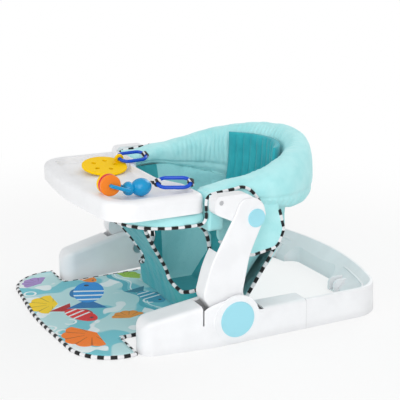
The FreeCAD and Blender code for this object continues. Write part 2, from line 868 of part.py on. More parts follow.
# Heights of the hanging cloth behind the seat, with its side edges in from the ring's tube,
# and the places of its edges and its middle in from the back of the ring's tube
rear_folds = 4
rear_levels = [
    (238.0, 36.0, 112.0, 21.0),
    (200.0, 36.0, 110.0, 23.0),
    (155.0, 32.0, 104.0, 36.0),
    (90.0, 34.0, 144.0, 82.0),
    (38.0, 38.0, 176.0, 130.0),
    (8.3, 40.0, 194.0, 166.0),
]
fold_wave = 5.0         # how far the cloth's main folds stand out


def rear_panel():
    sections = []
    for z, side_in, edge_in, back_in in rear_levels:
        half = ring_r - side_in
        edge_y = ring_back_y - edge_in
        back_y = ring_back_y - back_in
        centre_y = (back_y**2 - edge_y**2 - half**2) / (2 * (back_y - edge_y))
        radius = back_y - centre_y
        reach = math.asin(half / radius)
        outer = []
        inner = []
        for i in range(2 * rear_folds + 1):
            angle = reach - reach * i / rear_folds
            wave = fold_wave if i % 2 else 0
            for line, r in ((outer, radius + wave), (inner, radius + wave - panel_thick)):
                line.append(V(r * math.sin(angle), centre_y + r * math.cos(angle), z))
        folds = range(0, 2 * rear_folds, 2)
        wire = [Part.Arc(outer[i], outer[i + 1], outer[i + 2]).toShape() for i in folds]
        wire.append(Part.LineSegment(outer[-1], inner[-1]).toShape())
        inner.reverse()
        wire += [Part.Arc(inner[i], inner[i + 1], inner[i + 2]).toShape() for i in folds]
        wire.append(Part.LineSegment(inner[-1], outer[0]).toShape())
        sections.append(Part.Wire(wire))
    panel = Part.makeLoft(sections, True, False)
    groove = rear_piping(piping_r + seat_gap)
    return biggest(panel.cut(groove).cut(mirrored(groove)).cut(ring_pad()))


def rear_piping(r):
    points = []
    for z, side_in, edge_in, back_in in rear_levels[1:]:
        points.append(V(ring_r - side_in, ring_back_y - edge_in - panel_thick / 2, z))
    return piping(points, r)


# Heights of the back pad, with the middle of its back face in from the back of the ring's tube
back_pad_levels = [(324.0, 32.8), (262.0, 34.3), (204.0, 42.0)]


def back_pad():
    """The padded backrest with its sewn upright channels."""
    sections = []
    for z, back_in in back_pad_levels:
        back_y = ring_back_y - back_in
        half = back_pad_half
        radius = (half**2 + back_pad_sag**2) / (2 * back_pad_sag)
        centre_y = back_y - radius
        reach = math.asin(half / radius)
        front_r = radius - back_pad_thick

        def front(i):
            a = reach - i * reach * 2 / back_pad_channels
            return V(front_r * math.sin(a), centre_y + front_r * math.cos(a), z)

        def crown(i):
            a = reach - (i + 1 / 2) * reach * 2 / back_pad_channels
            r = front_r - back_pad_channel
            return V(r * math.sin(a), centre_y + r * math.cos(a), z)

        left = V(-half, centre_y + radius * math.cos(reach), z)
        right = V(half, left.y, z)
        edges = [Part.Arc(left, V(0, back_y, z), right).toShape()]
        edges.append(Part.LineSegment(right, front(0)).toShape())
        for i in range(back_pad_channels):
            edges.append(Part.Arc(front(i), crown(i), front(i + 1)).toShape())
        edges.append(Part.LineSegment(front(back_pad_channels), left).toShape())
        sections.append(Part.Wire(edges))
    return Part.makeLoft(sections, True, False)


# Corners of the side flap, seen from the side: y, z, rounding
flap_corners = [
    (-50.0, 262.0, 4.0),
    (64.0, 262.0, 4.0),
    (86.0, 190.0, 20.0),
    (72.0, 160.0, 18.0),
    (10.0, 148.0, 60.0),
    (-50.0, 190.0, 20.0),
]


flap_piping_low_z = 200.0   # the piping ends below this on the front edge
flap_piping_top_z = 232.0   # and below this on the back edge
flap_piping_front_y = -40.0
flap_piping_back_y = 60.0
flap_points = 40


def flap_piping(r):
    outline = rounded(flap_corners[1:] + flap_corners[:1], at_x(flap_x + cloth / 2))
    points = []
    for p in outline.discretize(flap_points):
        at_back = p.y > flap_piping_back_y
        if p.y > flap_piping_front_y and p.z < (flap_piping_top_z if at_back else flap_piping_low_z):
            points.append(p)
    points.sort(key=lambda p: math.atan2(p.z - pivot_z, p.y + overrun))
    return piping(points[::2], r)


def side_flap():
    flap = plate(flap_corners, flap_x, flap_x + cloth).cut(ring_pad())
    return biggest(flap.cut(flap_piping(piping_r + seat_gap)))


# Toys


def toy_place(shape, x, y, turn, tilt):
    """Turn a toy piece from its own frame, long way along Y, and set it down."""
    shape.rotate(V(0, 0, 0), V(0, 1, 0), tilt)
    shape.rotate(V(0, 0, 0), V(0, 0, 1), turn)
    shape.translate(V(x, y, link_z))
    return shape


def toy_link():
    """A closed link, in its own frame."""
    half = link_length / 2 - link_width / 2
    r = link_width / 2
    side = r * math.cos(math.radians(45))
    points = [V(r, -half, 0), V(r, half, 0), V(side, half + side, 0), V(0, half + r, 0)]
    points += [V(-side, half + side, 0), V(-r, half, 0), V(-r, -half, 0)]
    points += [V(-side, -half - side, 0), V(0, -half - r, 0), V(side, -half - side, 0)]
    path = Part.Wire([
        Part.LineSegment(points[0], points[1]).toShape(),
        Part.Arc(points[1], points[2], points[3]).toShape(),
        Part.Arc(points[3], points[4], points[5]).toShape(),
        Part.LineSegment(points[5], points[6]).toShape(),
        Part.Arc(points[6], points[7], points[8]).toShape(),
        Part.Arc(points[8], points[9], points[0]).toShape(),
    ])
    return path.makePipeShell([Part.Wire(Part.makeCircle(wire_r, points[0], V(0, 1, 0)))], True, False)


def strap_loop(end):
    """The loop of webbing round one end of a link, 1 for the rear end and -1 for the front."""
    y = end * link_length / 2
    outer = rod(-strap_width / 2, strap_width / 2, y, 0, strap_loop_r + strap_thick)
    return outer.cut(rod(-strap_width, strap_width, y, 0, strap_loop_r))


def tray_strap(x, y, turn):
    """Webbing from the tray's top to the rear end of a link."""
    loop = toy_place(strap_loop(1), x, y, turn, link_tilt)
    end = link_length / 2
    low = tray_bottom_z + tray_height + seat_gap - link_z
    half = strap_width / 2
    tail = box(-half, half, link_width / 8, end - wire_r, low, low + strap_thick)
    riser = box(-half, half, end - wire_r - strap_thick, end - wire_r, low, -strap_loop_r - strap_thick / 2)
    tail = toy_place(tail.fuse(riser), x, y, turn, 0)
    bore = rod(-link_length, link_length, end, 0, strap_loop_r)
    return loop.fuse(tail).cut(toy_place(bore, x, y, turn, link_tilt))


def rattle_strap():
    loop = strap_loop(-1)
    start = -link_length / 2 - strap_loop_r
    half = strap_width / 2
    tail = box(-half, half, start - 2 * strap_loop_r, start, -strap_thick / 2, strap_thick / 2)
    strap = toy_place(loop.fuse(tail), link_left_x, link_left_y, link_left_turn, link_tilt)
    return biggest(strap.cut(rattle()))


def toy_disc():
    """A flat disc with round holes and an upright eyelet for its link."""
    disc = Part.makeCylinder(disc_r, disc_thick, V(0, 0, -disc_thick / 2))
    disc = disc.makeFillet(disc_thick / 3, [e for e in disc.Edges if e.Curve.TypeId == "Part::GeomCircle"])
    for i in range(disc_holes):
        angle = 2 * math.pi * (i + disc_turn_share) / disc_holes
        r = disc_r * disc_hole_share
        low = V(r * math.cos(angle), r * math.sin(angle), -disc_thick)
        disc = disc.cut(Part.makeCylinder(disc_hole_r, 2 * disc_thick, low))
    disc.rotate(V(0, 0, 0), V(0, 1, 0), disc_tilt)
    disc.translate(V(disc_x, disc_y, disc_z))
    end = -link_length / 2
    place = (link_right_x, link_right_y, link_right_turn, link_tilt)
    eyelet = toy_place(rod(-eyelet_thick / 2, eyelet_thick / 2, end, 0, eyelet_r), *place)
    bore = toy_place(rod(-link_length, link_length, end, 0, eyelet_hole_r), *place)
    return disc.fuse(eyelet).cut(bore)


def rattle():
    """A plain two-lobed rattle with two arms that hold an axle for its rings."""
    back = rattle_back_y
    neck = back - rattle_length * 2 / 3
    front = back - rattle_length
    x = rattle_x
    z = rattle_z
    profile = Part.Wire([
        Part.Arc(V(x, back, z), V(x, back - rattle_r, z + rattle_r), V(x, neck, z + rattle_neck_r)).toShape(),
        Part.Arc(
            V(x, neck, z + rattle_neck_r),
            V(x, (neck + front) / 2, z + rattle_front_r),
            V(x, front, z),
        ).toShape(),
        Part.LineSegment(V(x, front, z), V(x, back, z)).toShape(),
    ])
    body = Part.Face(profile).revolve(V(x, 0, z), V(0, 1, 0), 360)
    arm_y = front + rattle_front_r / 2
    pieces = [rod(x - axle_half, x + axle_half, y, at, axle_r) for y, at in ((arm_y, z), (axle_y, axle_z))]
    for side in (-axle_half, axle_half):
        start = V(x + side, arm_y, z)
        end = V(x + side, axle_y, axle_z)
        pieces.append(Part.makeCylinder(axle_r, (end - start).Length, start, end - start))
        pieces.append(Part.makeSphere(axle_r, start))
        pieces.append(Part.makeSphere(axle_r, end))
    return body.fuse(pieces)


def toy_ring(i):
    x0 = rattle_x - ring_toy_thick * 3 / 2 + i * ring_toy_thick
    gap = seat_gap / 2
    ring = rod(x0 + gap, x0 + ring_toy_thick - gap, axle_y, axle_z, ring_toy_r)
    rims = [e for e in ring.Edges if e.Curve.TypeId == "Part::GeomCircle"]
    ring = ring.makeFillet(ring_toy_thick / 4, rims)
    return ring.cut(rod(0, base_width, axle_y, axle_z, axle_r + 2 * pin_gap))


if __name__ == "__main__":
    save_pair("side_pod", side_pod())
    save("rear_hoop", rear_hoop())
    save_pair("hub_cap", hub_cap())
    save_pair("hub_pin", hub_pin())
    save_pair("arm_outer", arm_outer())
    save_pair("arm_inner", arm_inner())
    save_pair("pivot_pin", pivot_pin())
    save_pair("pivot_cap", pivot_cap())
    save_pair("tube_cradle", tube_cradle())
    save_pair("bracket", bracket())
    save_pair("bracket_screw", bracket_screw())
    save("ring_tube", ring_tube(ring_tube_r))
    save("band_tube", band_tube(band_tube_r))
    save("ring_pad", ring_pad())
    save("front_band", front_band())
    save("tray_shell", tray_shell())
    save_pair("tray_tongue", tongue(0))
    save("floor_mat", mat())
    save("mat_piping", mat_piping())
    save("seat_pouch", seat_pouch())
    save("rear_panel", rear_panel())
    save("back_pad", back_pad())
    save_pair("side_flap", side_flap())
    save_pair("arch_piping", piping(arch_points, piping_r))
    save_pair("leg_piping", leg_piping(piping_r))
    save_pair("rear_piping", rear_piping(piping_r))
    save_pair("flap_piping", flap_piping(piping_r))
    save("link_right", toy_place(toy_link(), link_right_x, link_right_y, link_right_turn, link_tilt))
    save("link_left", toy_place(toy_link(), link_left_x, link_left_y, link_left_turn, link_tilt))
    save("strap_right", tray_strap(link_right_x, link_right_y, link_right_turn))
    save("strap_left", tray_strap(link_left_x, link_left_y, link_left_turn))
    save("toy_disc", toy_disc())
    save("rattle", rattle())
    save("rattle_strap", rattle_strap())
    for i, colour in enumerate(("yellow", "red", "orange")):
        save("toy_ring_" + colour, toy_ring(i))
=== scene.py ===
import json
import math

import bmesh
import bpy
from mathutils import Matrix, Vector, noise
from mathutils.bvhtree import BVHTree


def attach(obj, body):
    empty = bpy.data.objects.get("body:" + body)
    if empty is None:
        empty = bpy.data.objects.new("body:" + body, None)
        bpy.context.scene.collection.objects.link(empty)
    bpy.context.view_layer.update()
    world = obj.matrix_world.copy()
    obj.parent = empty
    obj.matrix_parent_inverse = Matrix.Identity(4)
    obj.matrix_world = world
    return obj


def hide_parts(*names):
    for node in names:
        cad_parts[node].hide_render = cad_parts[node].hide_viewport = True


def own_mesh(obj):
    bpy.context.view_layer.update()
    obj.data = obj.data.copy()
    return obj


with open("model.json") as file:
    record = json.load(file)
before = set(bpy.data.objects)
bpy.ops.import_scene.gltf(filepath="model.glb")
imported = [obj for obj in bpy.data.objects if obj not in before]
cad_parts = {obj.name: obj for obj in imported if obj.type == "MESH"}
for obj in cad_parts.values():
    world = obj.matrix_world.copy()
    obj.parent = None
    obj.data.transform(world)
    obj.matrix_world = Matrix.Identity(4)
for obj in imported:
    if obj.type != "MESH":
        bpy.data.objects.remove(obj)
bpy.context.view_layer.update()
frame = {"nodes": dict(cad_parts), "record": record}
nodes = frame["nodes"]
mm = 0.001
print("frame loaded with", len(nodes), "nodes")


# Shader maths

class Value:  # one shader value; the operators add Math nodes
    def __init__(self, look, socket):
        self.look = look
        self.socket = socket

    def calc(self, operation, *values):
        return self.look.add("ShaderNodeMath", {"operation": operation}, dict(enumerate(values)))

    def __add__(self, other):
        return self.calc("ADD", self, other)

    def __radd__(self, other):
        return self.calc("ADD", other, self)

    def __sub__(self, other):
        return self.calc("SUBTRACT", self, other)

    def __rsub__(self, other):
        return self.calc("SUBTRACT", other, self)

    def __mul__(self, other):
        return self.calc("MULTIPLY", self, other)

    def __rmul__(self, other):
        return self.calc("MULTIPLY", other, self)

    def __truediv__(self, other):
        return self.calc("DIVIDE", self, other)

    def __rtruediv__(self, other):
        return self.calc("DIVIDE", other, self)

    def __mod__(self, other):
        return self.calc("FLOORED_MODULO", self, other)

    def __gt__(self, other):
        return self.calc("GREATER_THAN", self, other)

    def __lt__(self, other):
        return self.calc("LESS_THAN", self, other)

    def __abs__(self):
        return self.calc("ABSOLUTE", self)

    def root(self):
        return self.calc("SQRT", self)

    def most(self, other):
        return self.calc("MAXIMUM", self, other)

    def step(self, low, high):  # a soft step from 0 at low to 1 at high
        settings = {"interpolation_type": "SMOOTHSTEP"}
        return self.look.add("ShaderNodeMapRange", settings, {0: self, 1: low, 2: high})


class Look:  # one material
    def __init__(self, name):
        self.material = bpy.data.materials.new(name)
        self.material.use_nodes = True
        self.tree = self.material.node_tree
        self.tree.nodes.clear()
        self.out = self.tree.nodes.new("ShaderNodeOutputMaterial")

    def add(self, kind, settings=None, inputs=None, output=0):
        node = self.tree.nodes.new(kind)
        for key, value in (settings or {}).items():
            setattr(node, key, value)
        for key, value in (inputs or {}).items():
            socket = node.inputs[key]
            if isinstance(value, Value):
                self.tree.links.new(value.socket, socket)
            elif isinstance(value, tuple) and socket.type == "RGBA" and len(value) == 3:
                socket.default_value = (*value, 1)
            else:
                socket.default_value = value
        return Value(self, node.outputs[output])

    def place(self):
        return self.add("ShaderNodeTexCoord", output="Object")

    def axes(self, vector):
        node = self.add("ShaderNodeSeparateXYZ", None, {0: vector}).socket.node
        return [Value(self, node.outputs[i]) for i in range(3)]

    def grain(self, vector, size, detail=2.0, rough=0.5):  # soft noise with blobs of this size in metres
        return self.add("ShaderNodeTexNoise", None,
                        {"Vector": vector, "Scale": 1 / size, "Detail": detail, "Roughness": rough})

    def mix(self, share, first, second):
        return self.add("ShaderNodeMix", {"data_type": "RGBA"}, {0: share, 6: first, 7: second}, 2)

    def bump(self, height, strength, depth, normal=None):
        inputs = {"Height": height, "Strength": strength, "Distance": depth}
        if normal:
            inputs["Normal"] = normal
        return self.add("ShaderNodeBump", None, inputs)

    def finish(self, **inputs):
        names = {"colour": "Base Color", "rough": "Roughness", "metal": "Metallic", "normal": "Normal",
                 "sheen": "Sheen Weight", "sheenRough": "Sheen Roughness", "specular": "Specular IOR Level"}
        shader = self.add("ShaderNodeBsdfPrincipled", None, {names[k]: v for k, v in inputs.items()})
        self.tree.links.new(shader.socket, self.out.inputs["Surface"])
        return self.material


def srgb(r, g, b):  # a colour as a picture shows it, 0 to 255, in linear light
    return tuple(((v / 255 + 0.055) / 1.055) ** 2.4 if v > 10 else v / 255 / 12.92 for v in (r, g, b))


plastics = {
    "white_shell": dict(colour=(243, 244, 246), rough=0.36, specular=0.4,
                        seam=dict(y=113.0, half=0.7, out=205.0, top=90.0)),
    "pale_blue_cap": dict(colour=(160, 222, 236), rough=0.42, specular=0.4),
    "toy_deep_blue": dict(colour=(0, 78, 205), rough=0.25, specular=0.5),
    "toy_sea_blue": dict(colour=(0, 152, 208), rough=0.22, specular=0.5),
    "toy_yellow": dict(colour=(255, 208, 0), rough=0.5, specular=0.15),
    "toy_red": dict(colour=(222, 26, 44), rough=0.3, specular=0.35),
    "toy_orange": dict(colour=(243, 130, 26), rough=0.34, specular=0.35),
}
cloths = {
    "mint_cloth": dict(colour=(184, 240, 242), shade=(158, 228, 231), weave=1.6, fold=14.0),
    "teal_cloth": dict(colour=(66, 176, 184), shade=(54, 158, 168), weave=1.6, fold=20.0,
                       sides=dict(seam=-14.0, out=84.0, colour=(166, 229, 232))),
    "turquoise_cloth": dict(colour=(54, 182, 192), shade=(40, 158, 172), weave=1.3, fold=9.0),
}


# The finishes; sizes of noise and bump are in metres

plasticFinish = dict(
    grain=0.0011, grainBump=0.1, grainDepth=0.00015,
    cloud=0.05, cloudDetail=3.0, cloudEdges=(0.35, 0.65), cloudRough=0.08,
    smudge=0.012, smudgeDetail=4.0, smudgeEdges=(0.45, 0.75), smudgeRough=0.06, smoother=0.05,
    worn=0.93, wornShare=0.6, lowTone=0.8, lowLift=0.02, lowHeight=0.018, lowShare=0.5, seamTone=0.74,
)
clothFinish = dict(
    cloud=0.035, cloudDetail=3.0, cloudEdges=(0.3, 0.75), shadeShare=0.7,
    fleck=0.0018, fleckDetail=2.0, fleckEdges=(0.55, 0.75), fleckShare=0.25, fleckLight=1.08,
    rough=0.78, roughSpread=0.1, sheen=0.25, sheenRough=0.5, specular=0.25,
    creaseDetail=4.0, creaseRough=0.6, creaseBump=0.35, creaseDepth=0.002,
    fuzz=0.0005, fuzzDetail=2.0, threadShare=0.5, threadBump=0.35, threadDepth=0.00025,
)


def plasticLook(name, colour, rough, specular, seam=None):
    look, facts = Look(name), plasticFinish
    place = look.place()
    fine = look.grain(place, facts["grain"])
    cloud = look.grain(place, facts["cloud"], facts["cloudDetail"])
    smudge = look.grain(place, facts["smudge"], facts["smudgeDetail"]).step(*facts["smudgeEdges"])
    # darker towards the floor: the lowest 18 mm is mixed halfway to a darker tone of the colour
    lowMask = 1 - look.axes(place)[2].step(0.0, facts["lowHeight"])
    worn = tuple(facts["worn"] * v for v in srgb(*colour))
    lowTone = tuple(facts["lowTone"] * v + facts["lowLift"] for v in srgb(*colour))
    tone = look.mix(cloud.step(*facts["cloudEdges"]) * facts["wornShare"], srgb(*colour), worn)
    if seam:  # the fine line where each pod meets the hoop
        x, y, z = look.axes(place)
        line = (abs(y - seam["y"] * mm) < seam["half"] * mm) * (abs(x) > seam["out"] * mm)
        line = line * (z < seam["top"] * mm)
        tone = look.mix(line, tone, tuple(facts["seamTone"] * v for v in srgb(*colour)))
    roughness = cloud * facts["cloudRough"] + smudge * facts["smudgeRough"] + (rough - facts["smoother"])
    return look.finish(
        colour=look.mix(lowMask * facts["lowShare"], tone, lowTone),
        rough=roughness,
        normal=look.bump(fine, facts["grainBump"], facts["grainDepth"]),
        specular=specular,
    )


def clothBump(look, place, weave, fold):
    facts = clothFinish
    waves = [axis.calc("SINE", axis * (2 * math.pi / (weave * mm))) for axis in look.axes(place)]
    threads = waves[0] * waves[2] + waves[1] * waves[2] + waves[0] * waves[1]
    creases = look.grain(place, fold * mm, facts["creaseDetail"], facts["creaseRough"])
    fuzz = look.grain(place, facts["fuzz"], facts["fuzzDetail"])
    soft = look.bump(creases, facts["creaseBump"], facts["creaseDepth"])
    return look.bump(threads * facts["threadShare"] + fuzz, facts["threadBump"], facts["threadDepth"], soft)


def clothLook(name, colour, shade, weave, fold, sides=None):
    look, facts = Look(name), clothFinish
    place = look.place()
    cloud = look.grain(place, facts["cloud"], facts["cloudDetail"])
    flecks = look.grain(place, facts["fleck"], facts["fleckDetail"]).step(*facts["fleckEdges"])
    tone = look.mix(cloud.step(*facts["cloudEdges"]) * facts["shadeShare"], srgb(*colour), srgb(*shade))
    if sides:  # the pouch's side pieces behind the arms are cut from the paler cloth
        x, y = look.axes(place)[:2]
        inSides = (abs(x) > sides["out"] * mm) * (y > sides["seam"] * mm)
        tone = look.mix(inSides, tone, srgb(*sides["colour"]))
    light = tuple(facts["fleckLight"] * v for v in srgb(*colour))
    return look.finish(
        colour=look.mix(flecks * facts["fleckShare"], tone, light),
        rough=cloud * facts["roughSpread"] + facts["rough"],
        sheen=facts["sheen"],
        sheenRough=facts["sheenRough"],
        specular=facts["specular"],
        normal=clothBump(look, place, weave, fold),
    )


stripes = dict(
    dark=(16, 16, 18), edge=0.03, ribs=8.0, ribShare=0.4, bump=0.35, depth=0.0003,
    fuzz=0.0006, fuzzDetail=3.0, fuzzEdges=(0.5, 0.8), fuzzShare=0.25, fuzzTone=(0.3, 0.3, 0.31),
    rough=0.75, sheen=0.2, specular=0.3,
)
pipingStripe = dict(pale=(236, 236, 238), share=0.5)
tape = dict(pale=(226, 226, 230), share=0.6, stripe=0.012, slant=0.4)


def stripedLook(name, along, pale, share):  # along counts stripes
    look, facts = Look(name), stripes
    count = along(look)
    inStripe = count % 1.0
    ribs = (count * facts["ribs"]) % 1.0
    edge = facts["edge"]
    stripe = inStripe.step(share - edge, share + edge) - inStripe.step(1.0 - edge, 1.0)
    fuzz = look.grain(look.place(), facts["fuzz"], facts["fuzzDetail"])
    tone = look.mix(stripe, srgb(*facts["dark"]), srgb(*pale))
    return look.finish(
        colour=look.mix(fuzz.step(*facts["fuzzEdges"]) * facts["fuzzShare"], tone, facts["fuzzTone"]),
        rough=facts["rough"],
        sheen=facts["sheen"],
        specular=facts["specular"],
        normal=look.bump(ribs * facts["ribShare"] + fuzz, facts["bump"], facts["depth"]),
    )


def pipingCount(look):
    return look.axes(look.add("ShaderNodeUVMap", {"uv_map": "UVMap"}))[0]


def tapeCount(look):
    x, y, z = look.axes(look.place())
    return (y + x * tape["slant"] + z) / tape["stripe"]


# The mat's print: a generic sea pattern of shells, fish, bubbles and waves. Each shell and fish has its
# place on the mat, its turn, its size and its colour. Lengths are in millimetres, noise sizes in metres.

mint, aqua, white, teal = (190, 226, 228), (118, 200, 212), (236, 244, 245), (84, 180, 196)
matPrint = dict(
    shells=[(118, -276, 196, 58, (255, 126, 8)), (-64, -294, 160, 52, (255, 214, 8)),
            (-196, -284, 128, 36, (166, 138, 200)), (70, -180, 84, 34, (240, 150, 50)),
            (-150, -96, 30, 34, (150, 196, 60))],
    fish=[(18, -262, 24, 42, (230, 34, 36)), (-96, -204, 158, 62, (14, 146, 224)),
          (-176, -180, 20, 30, (246, 140, 40)), (112, -104, 200, 36, (232, 208, 50)),
          (-10, -96, 14, 40, (60, 160, 190))],
    blotSize=0.12, blotDetail=1.0, blotEdges=(0.49, 0.52),
    paleSize=0.05, paleDetail=0.5, paleEdges=(0.62, 0.64),
    bubbleCell=84.0, bubbleRadius=0.14, bubbleLine=0.022, bubbleSoft=1.4, bubbleEdges=(0.4, 0.45),
    waves=[(-128, 12), (-40, 10)], waveLength=92.0, waveHeight=8.0, waveEvery=400.0,
    lineGap=6.0, lineWide=3.0,
    weave=1.1, fold=30.0, rough=0.72, sheen=0.12, specular=0.3,
)
shellShape = dict(
    ribs=5.0, reach=0.9, scallop=0.1, slope=0.35, foot=0.2, line=0.22, lineFrom=0.25, lineTone=0.62,
)
fishShape = dict(
    slim=1.9, deep=0.6, tail=0.7, tailSpread=0.85, tailEnd=1.5,
    fin=0.42, finBack=0.1, finUp=0.42, finSlim=1.8,
    bands=2.6, bandShare=0.3, bandFrom=-0.8, bandTo=0.35,
    eye=(0.62, 0.1), eyeSize=0.09, eyeTone=(0.02, 0.03, 0.05),
)


def motif(x, y, spot):  # a motif's own axes, in shares of its size
    spotX, spotY, degrees, size = spot
    c, s = math.cos(math.radians(degrees)), math.sin(math.radians(degrees))
    across, up = x - spotX, y - spotY
    return (across * c + up * s) * (1 / size), (up * c - across * s) * (1 / size)


def distance(u, v):
    return (u * u + v * v).root()


def addShell(look, tone, x, y, spot, colour):
    u, v = motif(x, y, spot)
    angle = u.calc("ARCTAN2", v, u) * shellShape["ribs"]
    ribs = abs(angle.calc("SINE", angle))
    rim = ribs * shellShape["scallop"] + shellShape["reach"]
    inside = (distance(u, v) < rim) * (v > abs(u) * shellShape["slope"] - shellShape["foot"])
    tone = look.mix(inside, tone, colour)
    lines = inside * (ribs < shellShape["line"]) * (distance(u, v) > shellShape["lineFrom"])
    return look.mix(lines, tone, tuple(shellShape["lineTone"] * c for c in colour))


def addFish(look, tone, x, y, spot, colour):
    u, v = motif(x, y, spot)
    facts = fishShape
    body = distance(u, v * facts["slim"]) < 1
    tail = (abs(v) < (-facts["tail"] - u) * facts["tailSpread"]) * (u > -facts["tailEnd"])
    fin = (distance(u + facts["finBack"], (v - facts["finUp"]) * facts["finSlim"]) < facts["fin"]) * (v > 0)
    tone = look.mix(tail.most(fin), tone, tuple(facts["deep"] * c for c in colour))
    tone = look.mix(body, tone, colour)
    bands = ((u * facts["bands"]) % 1.0 < facts["bandShare"]) * (u < facts["bandTo"])
    bands = bands * (u > facts["bandFrom"])
    tone = look.mix(body * bands, tone, srgb(*white))
    eye = distance(u - facts["eye"][0], v - facts["eye"][1]) < facts["eyeSize"]
    return look.mix(eye, tone, facts["eyeTone"])


def matLook(name):
    look, facts = Look(name), matPrint
    place = look.place()
    x, y = [axis / mm for axis in look.axes(place)[:2]]
    blots = look.grain(place, facts["blotSize"], facts["blotDetail"])
    tone = look.mix(blots.step(*facts["blotEdges"]), srgb(*mint), srgb(*aqua))
    pale = look.grain(place, facts["paleSize"], facts["paleDetail"]).step(*facts["paleEdges"])
    tone = look.mix(pale, tone, srgb(*white))
    turns = x * (2 * math.pi / facts["waveLength"])
    swell = y + turns.calc("SINE", turns) * facts["waveHeight"]
    for height, tall in facts["waves"]:
        inBand = (swell - height) % facts["waveEvery"]
        tone = look.mix(inBand < tall, tone, srgb(*teal))
        line = tall + facts["lineGap"]
        tone = look.mix((inBand > line) * (inBand < line + facts["lineWide"]), tone, srgb(*white))
    cell = look.add("ShaderNodeTexVoronoi", {"voronoi_dimensions": "2D"},
                    {"Vector": place, "Scale": 1 / (facts["bubbleCell"] * mm)})
    line = facts["bubbleLine"]
    bubbles = 1 - abs(cell - facts["bubbleRadius"]).step(line, facts["bubbleSoft"] * line)
    tone = look.mix(bubbles * blots.step(*facts["bubbleEdges"]), tone, srgb(*white))
    for *spot, colour in facts["shells"]:
        tone = addShell(look, tone, x, y, spot, srgb(*colour))
    for *spot, colour in facts["fish"]:
        tone = addFish(look, tone, x, y, spot, srgb(*colour))
    return look.finish(colour=tone, rough=facts["rough"], sheen=facts["sheen"], specular=facts["specular"],
                       normal=clothBump(look, place, facts["weave"], facts["fold"]))


steelFinish = dict(
    grain=0.0015, detail=3.0, dark=(0.5, 0.51, 0.53), light=(0.62, 0.63, 0.65), rough=0.25, spread=0.2,
)


def steelLook(name):
    look, facts = Look(name), steelFinish
    brushed = look.grain(look.place(), facts["grain"], facts["detail"])
    return look.finish(colour=look.mix(brushed, facts["dark"], facts["light"]), metal=1.0,
                       rough=brushed * facts["spread"] + facts["rough"])


materials = {}
for name, facts in plastics.items():
    materials[name] = plasticLook(name, **facts)
for name, facts in cloths.items():
    materials[name] = clothLook(name, **facts)
materials["striped_piping"] = stripedLook("striped_piping", pipingCount, **pipingStripe)
materials["webbing"] = stripedLook("webbing", tapeCount, tape["pale"], tape["share"])
materials["mat_cloth"] = matLook("mat_cloth")
materials["steel"] = steelLook("steel")

slotOf = {part["node"]: part["material_slot"] for part in frame["record"]["subparts"]}
for name, node in nodes.items():
    node.data.materials.clear()
    node.data.materials.append(materials[slotOf[name]])
print("materials on")


# Soft and small pieces. Sizes are in millimetres in the CAD's own frame.

def power(value, exponent):  # a signed power, for full oval sections
    return math.copysign(abs(value) ** exponent, value)


def softStep(value, low, high):
    t = min(max((value - low) / (high - low), 0), 1)
    return t * t * (3 - 2 * t)


def wrinkle(point, size, depth):  # soft folds of this size and depth
    return depth * noise.noise(Vector(point) / size)


def hump(value, middle, width):  # 1 at the middle, fading on both sides
    return math.exp(-((value - middle) / width) ** 2)


def roundEnd(inward, reach):  # a padded end swells from nothing to full over this reach
    return math.sqrt(max(1 - max(1 - inward / reach, 0) ** 2, 0))


def between(rows, at):  # the columns of a table at a place in its first column, smoothly joined
    at = min(max(at, rows[0][0]), rows[-1][0])
    i = max(k for k in range(len(rows) - 1) if rows[k][0] <= at)
    gap = rows[i + 1][0] - rows[i][0]
    t = (at - rows[i][0]) / gap
    found = []
    for column in range(1, len(rows[0])):
        slopes = []
        for k in (i, i + 1):
            before, after = rows[max(k - 1, 0)], rows[min(k + 1, len(rows) - 1)]
            slopes.append(gap * (after[column] - before[column]) / (after[0] - before[0]))
        low, high = rows[i][column], rows[i + 1][column]
        curve = (2 * t**3 - 3 * t**2 + 1) * low + (t**3 - 2 * t**2 + t) * slopes[0]
        found.append(curve + (3 * t**2 - 2 * t**3) * high + (t**3 - t**2) * slopes[1])
    return found


lineSteps = 24  # between two points of a smooth line
shortest = 1e-9


def smoothLine(points, count, closed=False):  # evenly spaced points on a smooth line, and its length
    points = [Vector(p) for p in points]
    last = len(points) if closed else len(points) - 1
    dense = []
    for i in range(last):
        places = [(i + k) % last if closed else min(max(i + k, 0), last) for k in (-1, 0, 1, 2)]
        a, b, c, d = [points[k] for k in places]
        for k in range(lineSteps):
            t = k / lineSteps
            bend = (2 * a - 5 * b + 4 * c - d) * t**2 + (3 * b - a - 3 * c + d) * t**3
            dense.append((2 * b + (c - a) * t + bend) / 2)
    dense.append(dense[0] if closed else points[-1])
    reach = [0.0]
    for a, b in zip(dense, dense[1:]):
        reach.append(reach[-1] + (b - a).length)
    line = []
    k = 0
    for i in range(count + 1):
        want = reach[-1] * i / count
        while k < len(reach) - 2 and reach[k + 1] < want:
            k += 1
        line.append(dense[k].lerp(dense[k + 1], (want - reach[k]) / max(reach[k + 1] - reach[k], shortest)))
    return line, reach[-1]


cornerSteps = 8
cornerPoints = cornerSteps + 1


def roundedOutline(corners, steps=cornerSteps):  # points round a closed outline of corners (u, v, radius)
    line = []
    for i, (u, v, radius) in enumerate(corners):
        here = Vector((u, v))
        before = (Vector(corners[i - 1][:2]) - here).normalized()
        after = (Vector(corners[(i + 1) % len(corners)][:2]) - here).normalized()
        half = before.angle(after) / 2
        start = here + before * (radius / math.tan(half))
        end = here + after * (radius / math.tan(half))
        centre = here + (before + after).normalized() * (radius / math.sin(half))
        for k in range(steps + 1):
            spoke = (start - centre).lerp(end - centre, k / steps)
            line.append(centre + spoke.normalized() * radius)
    return line


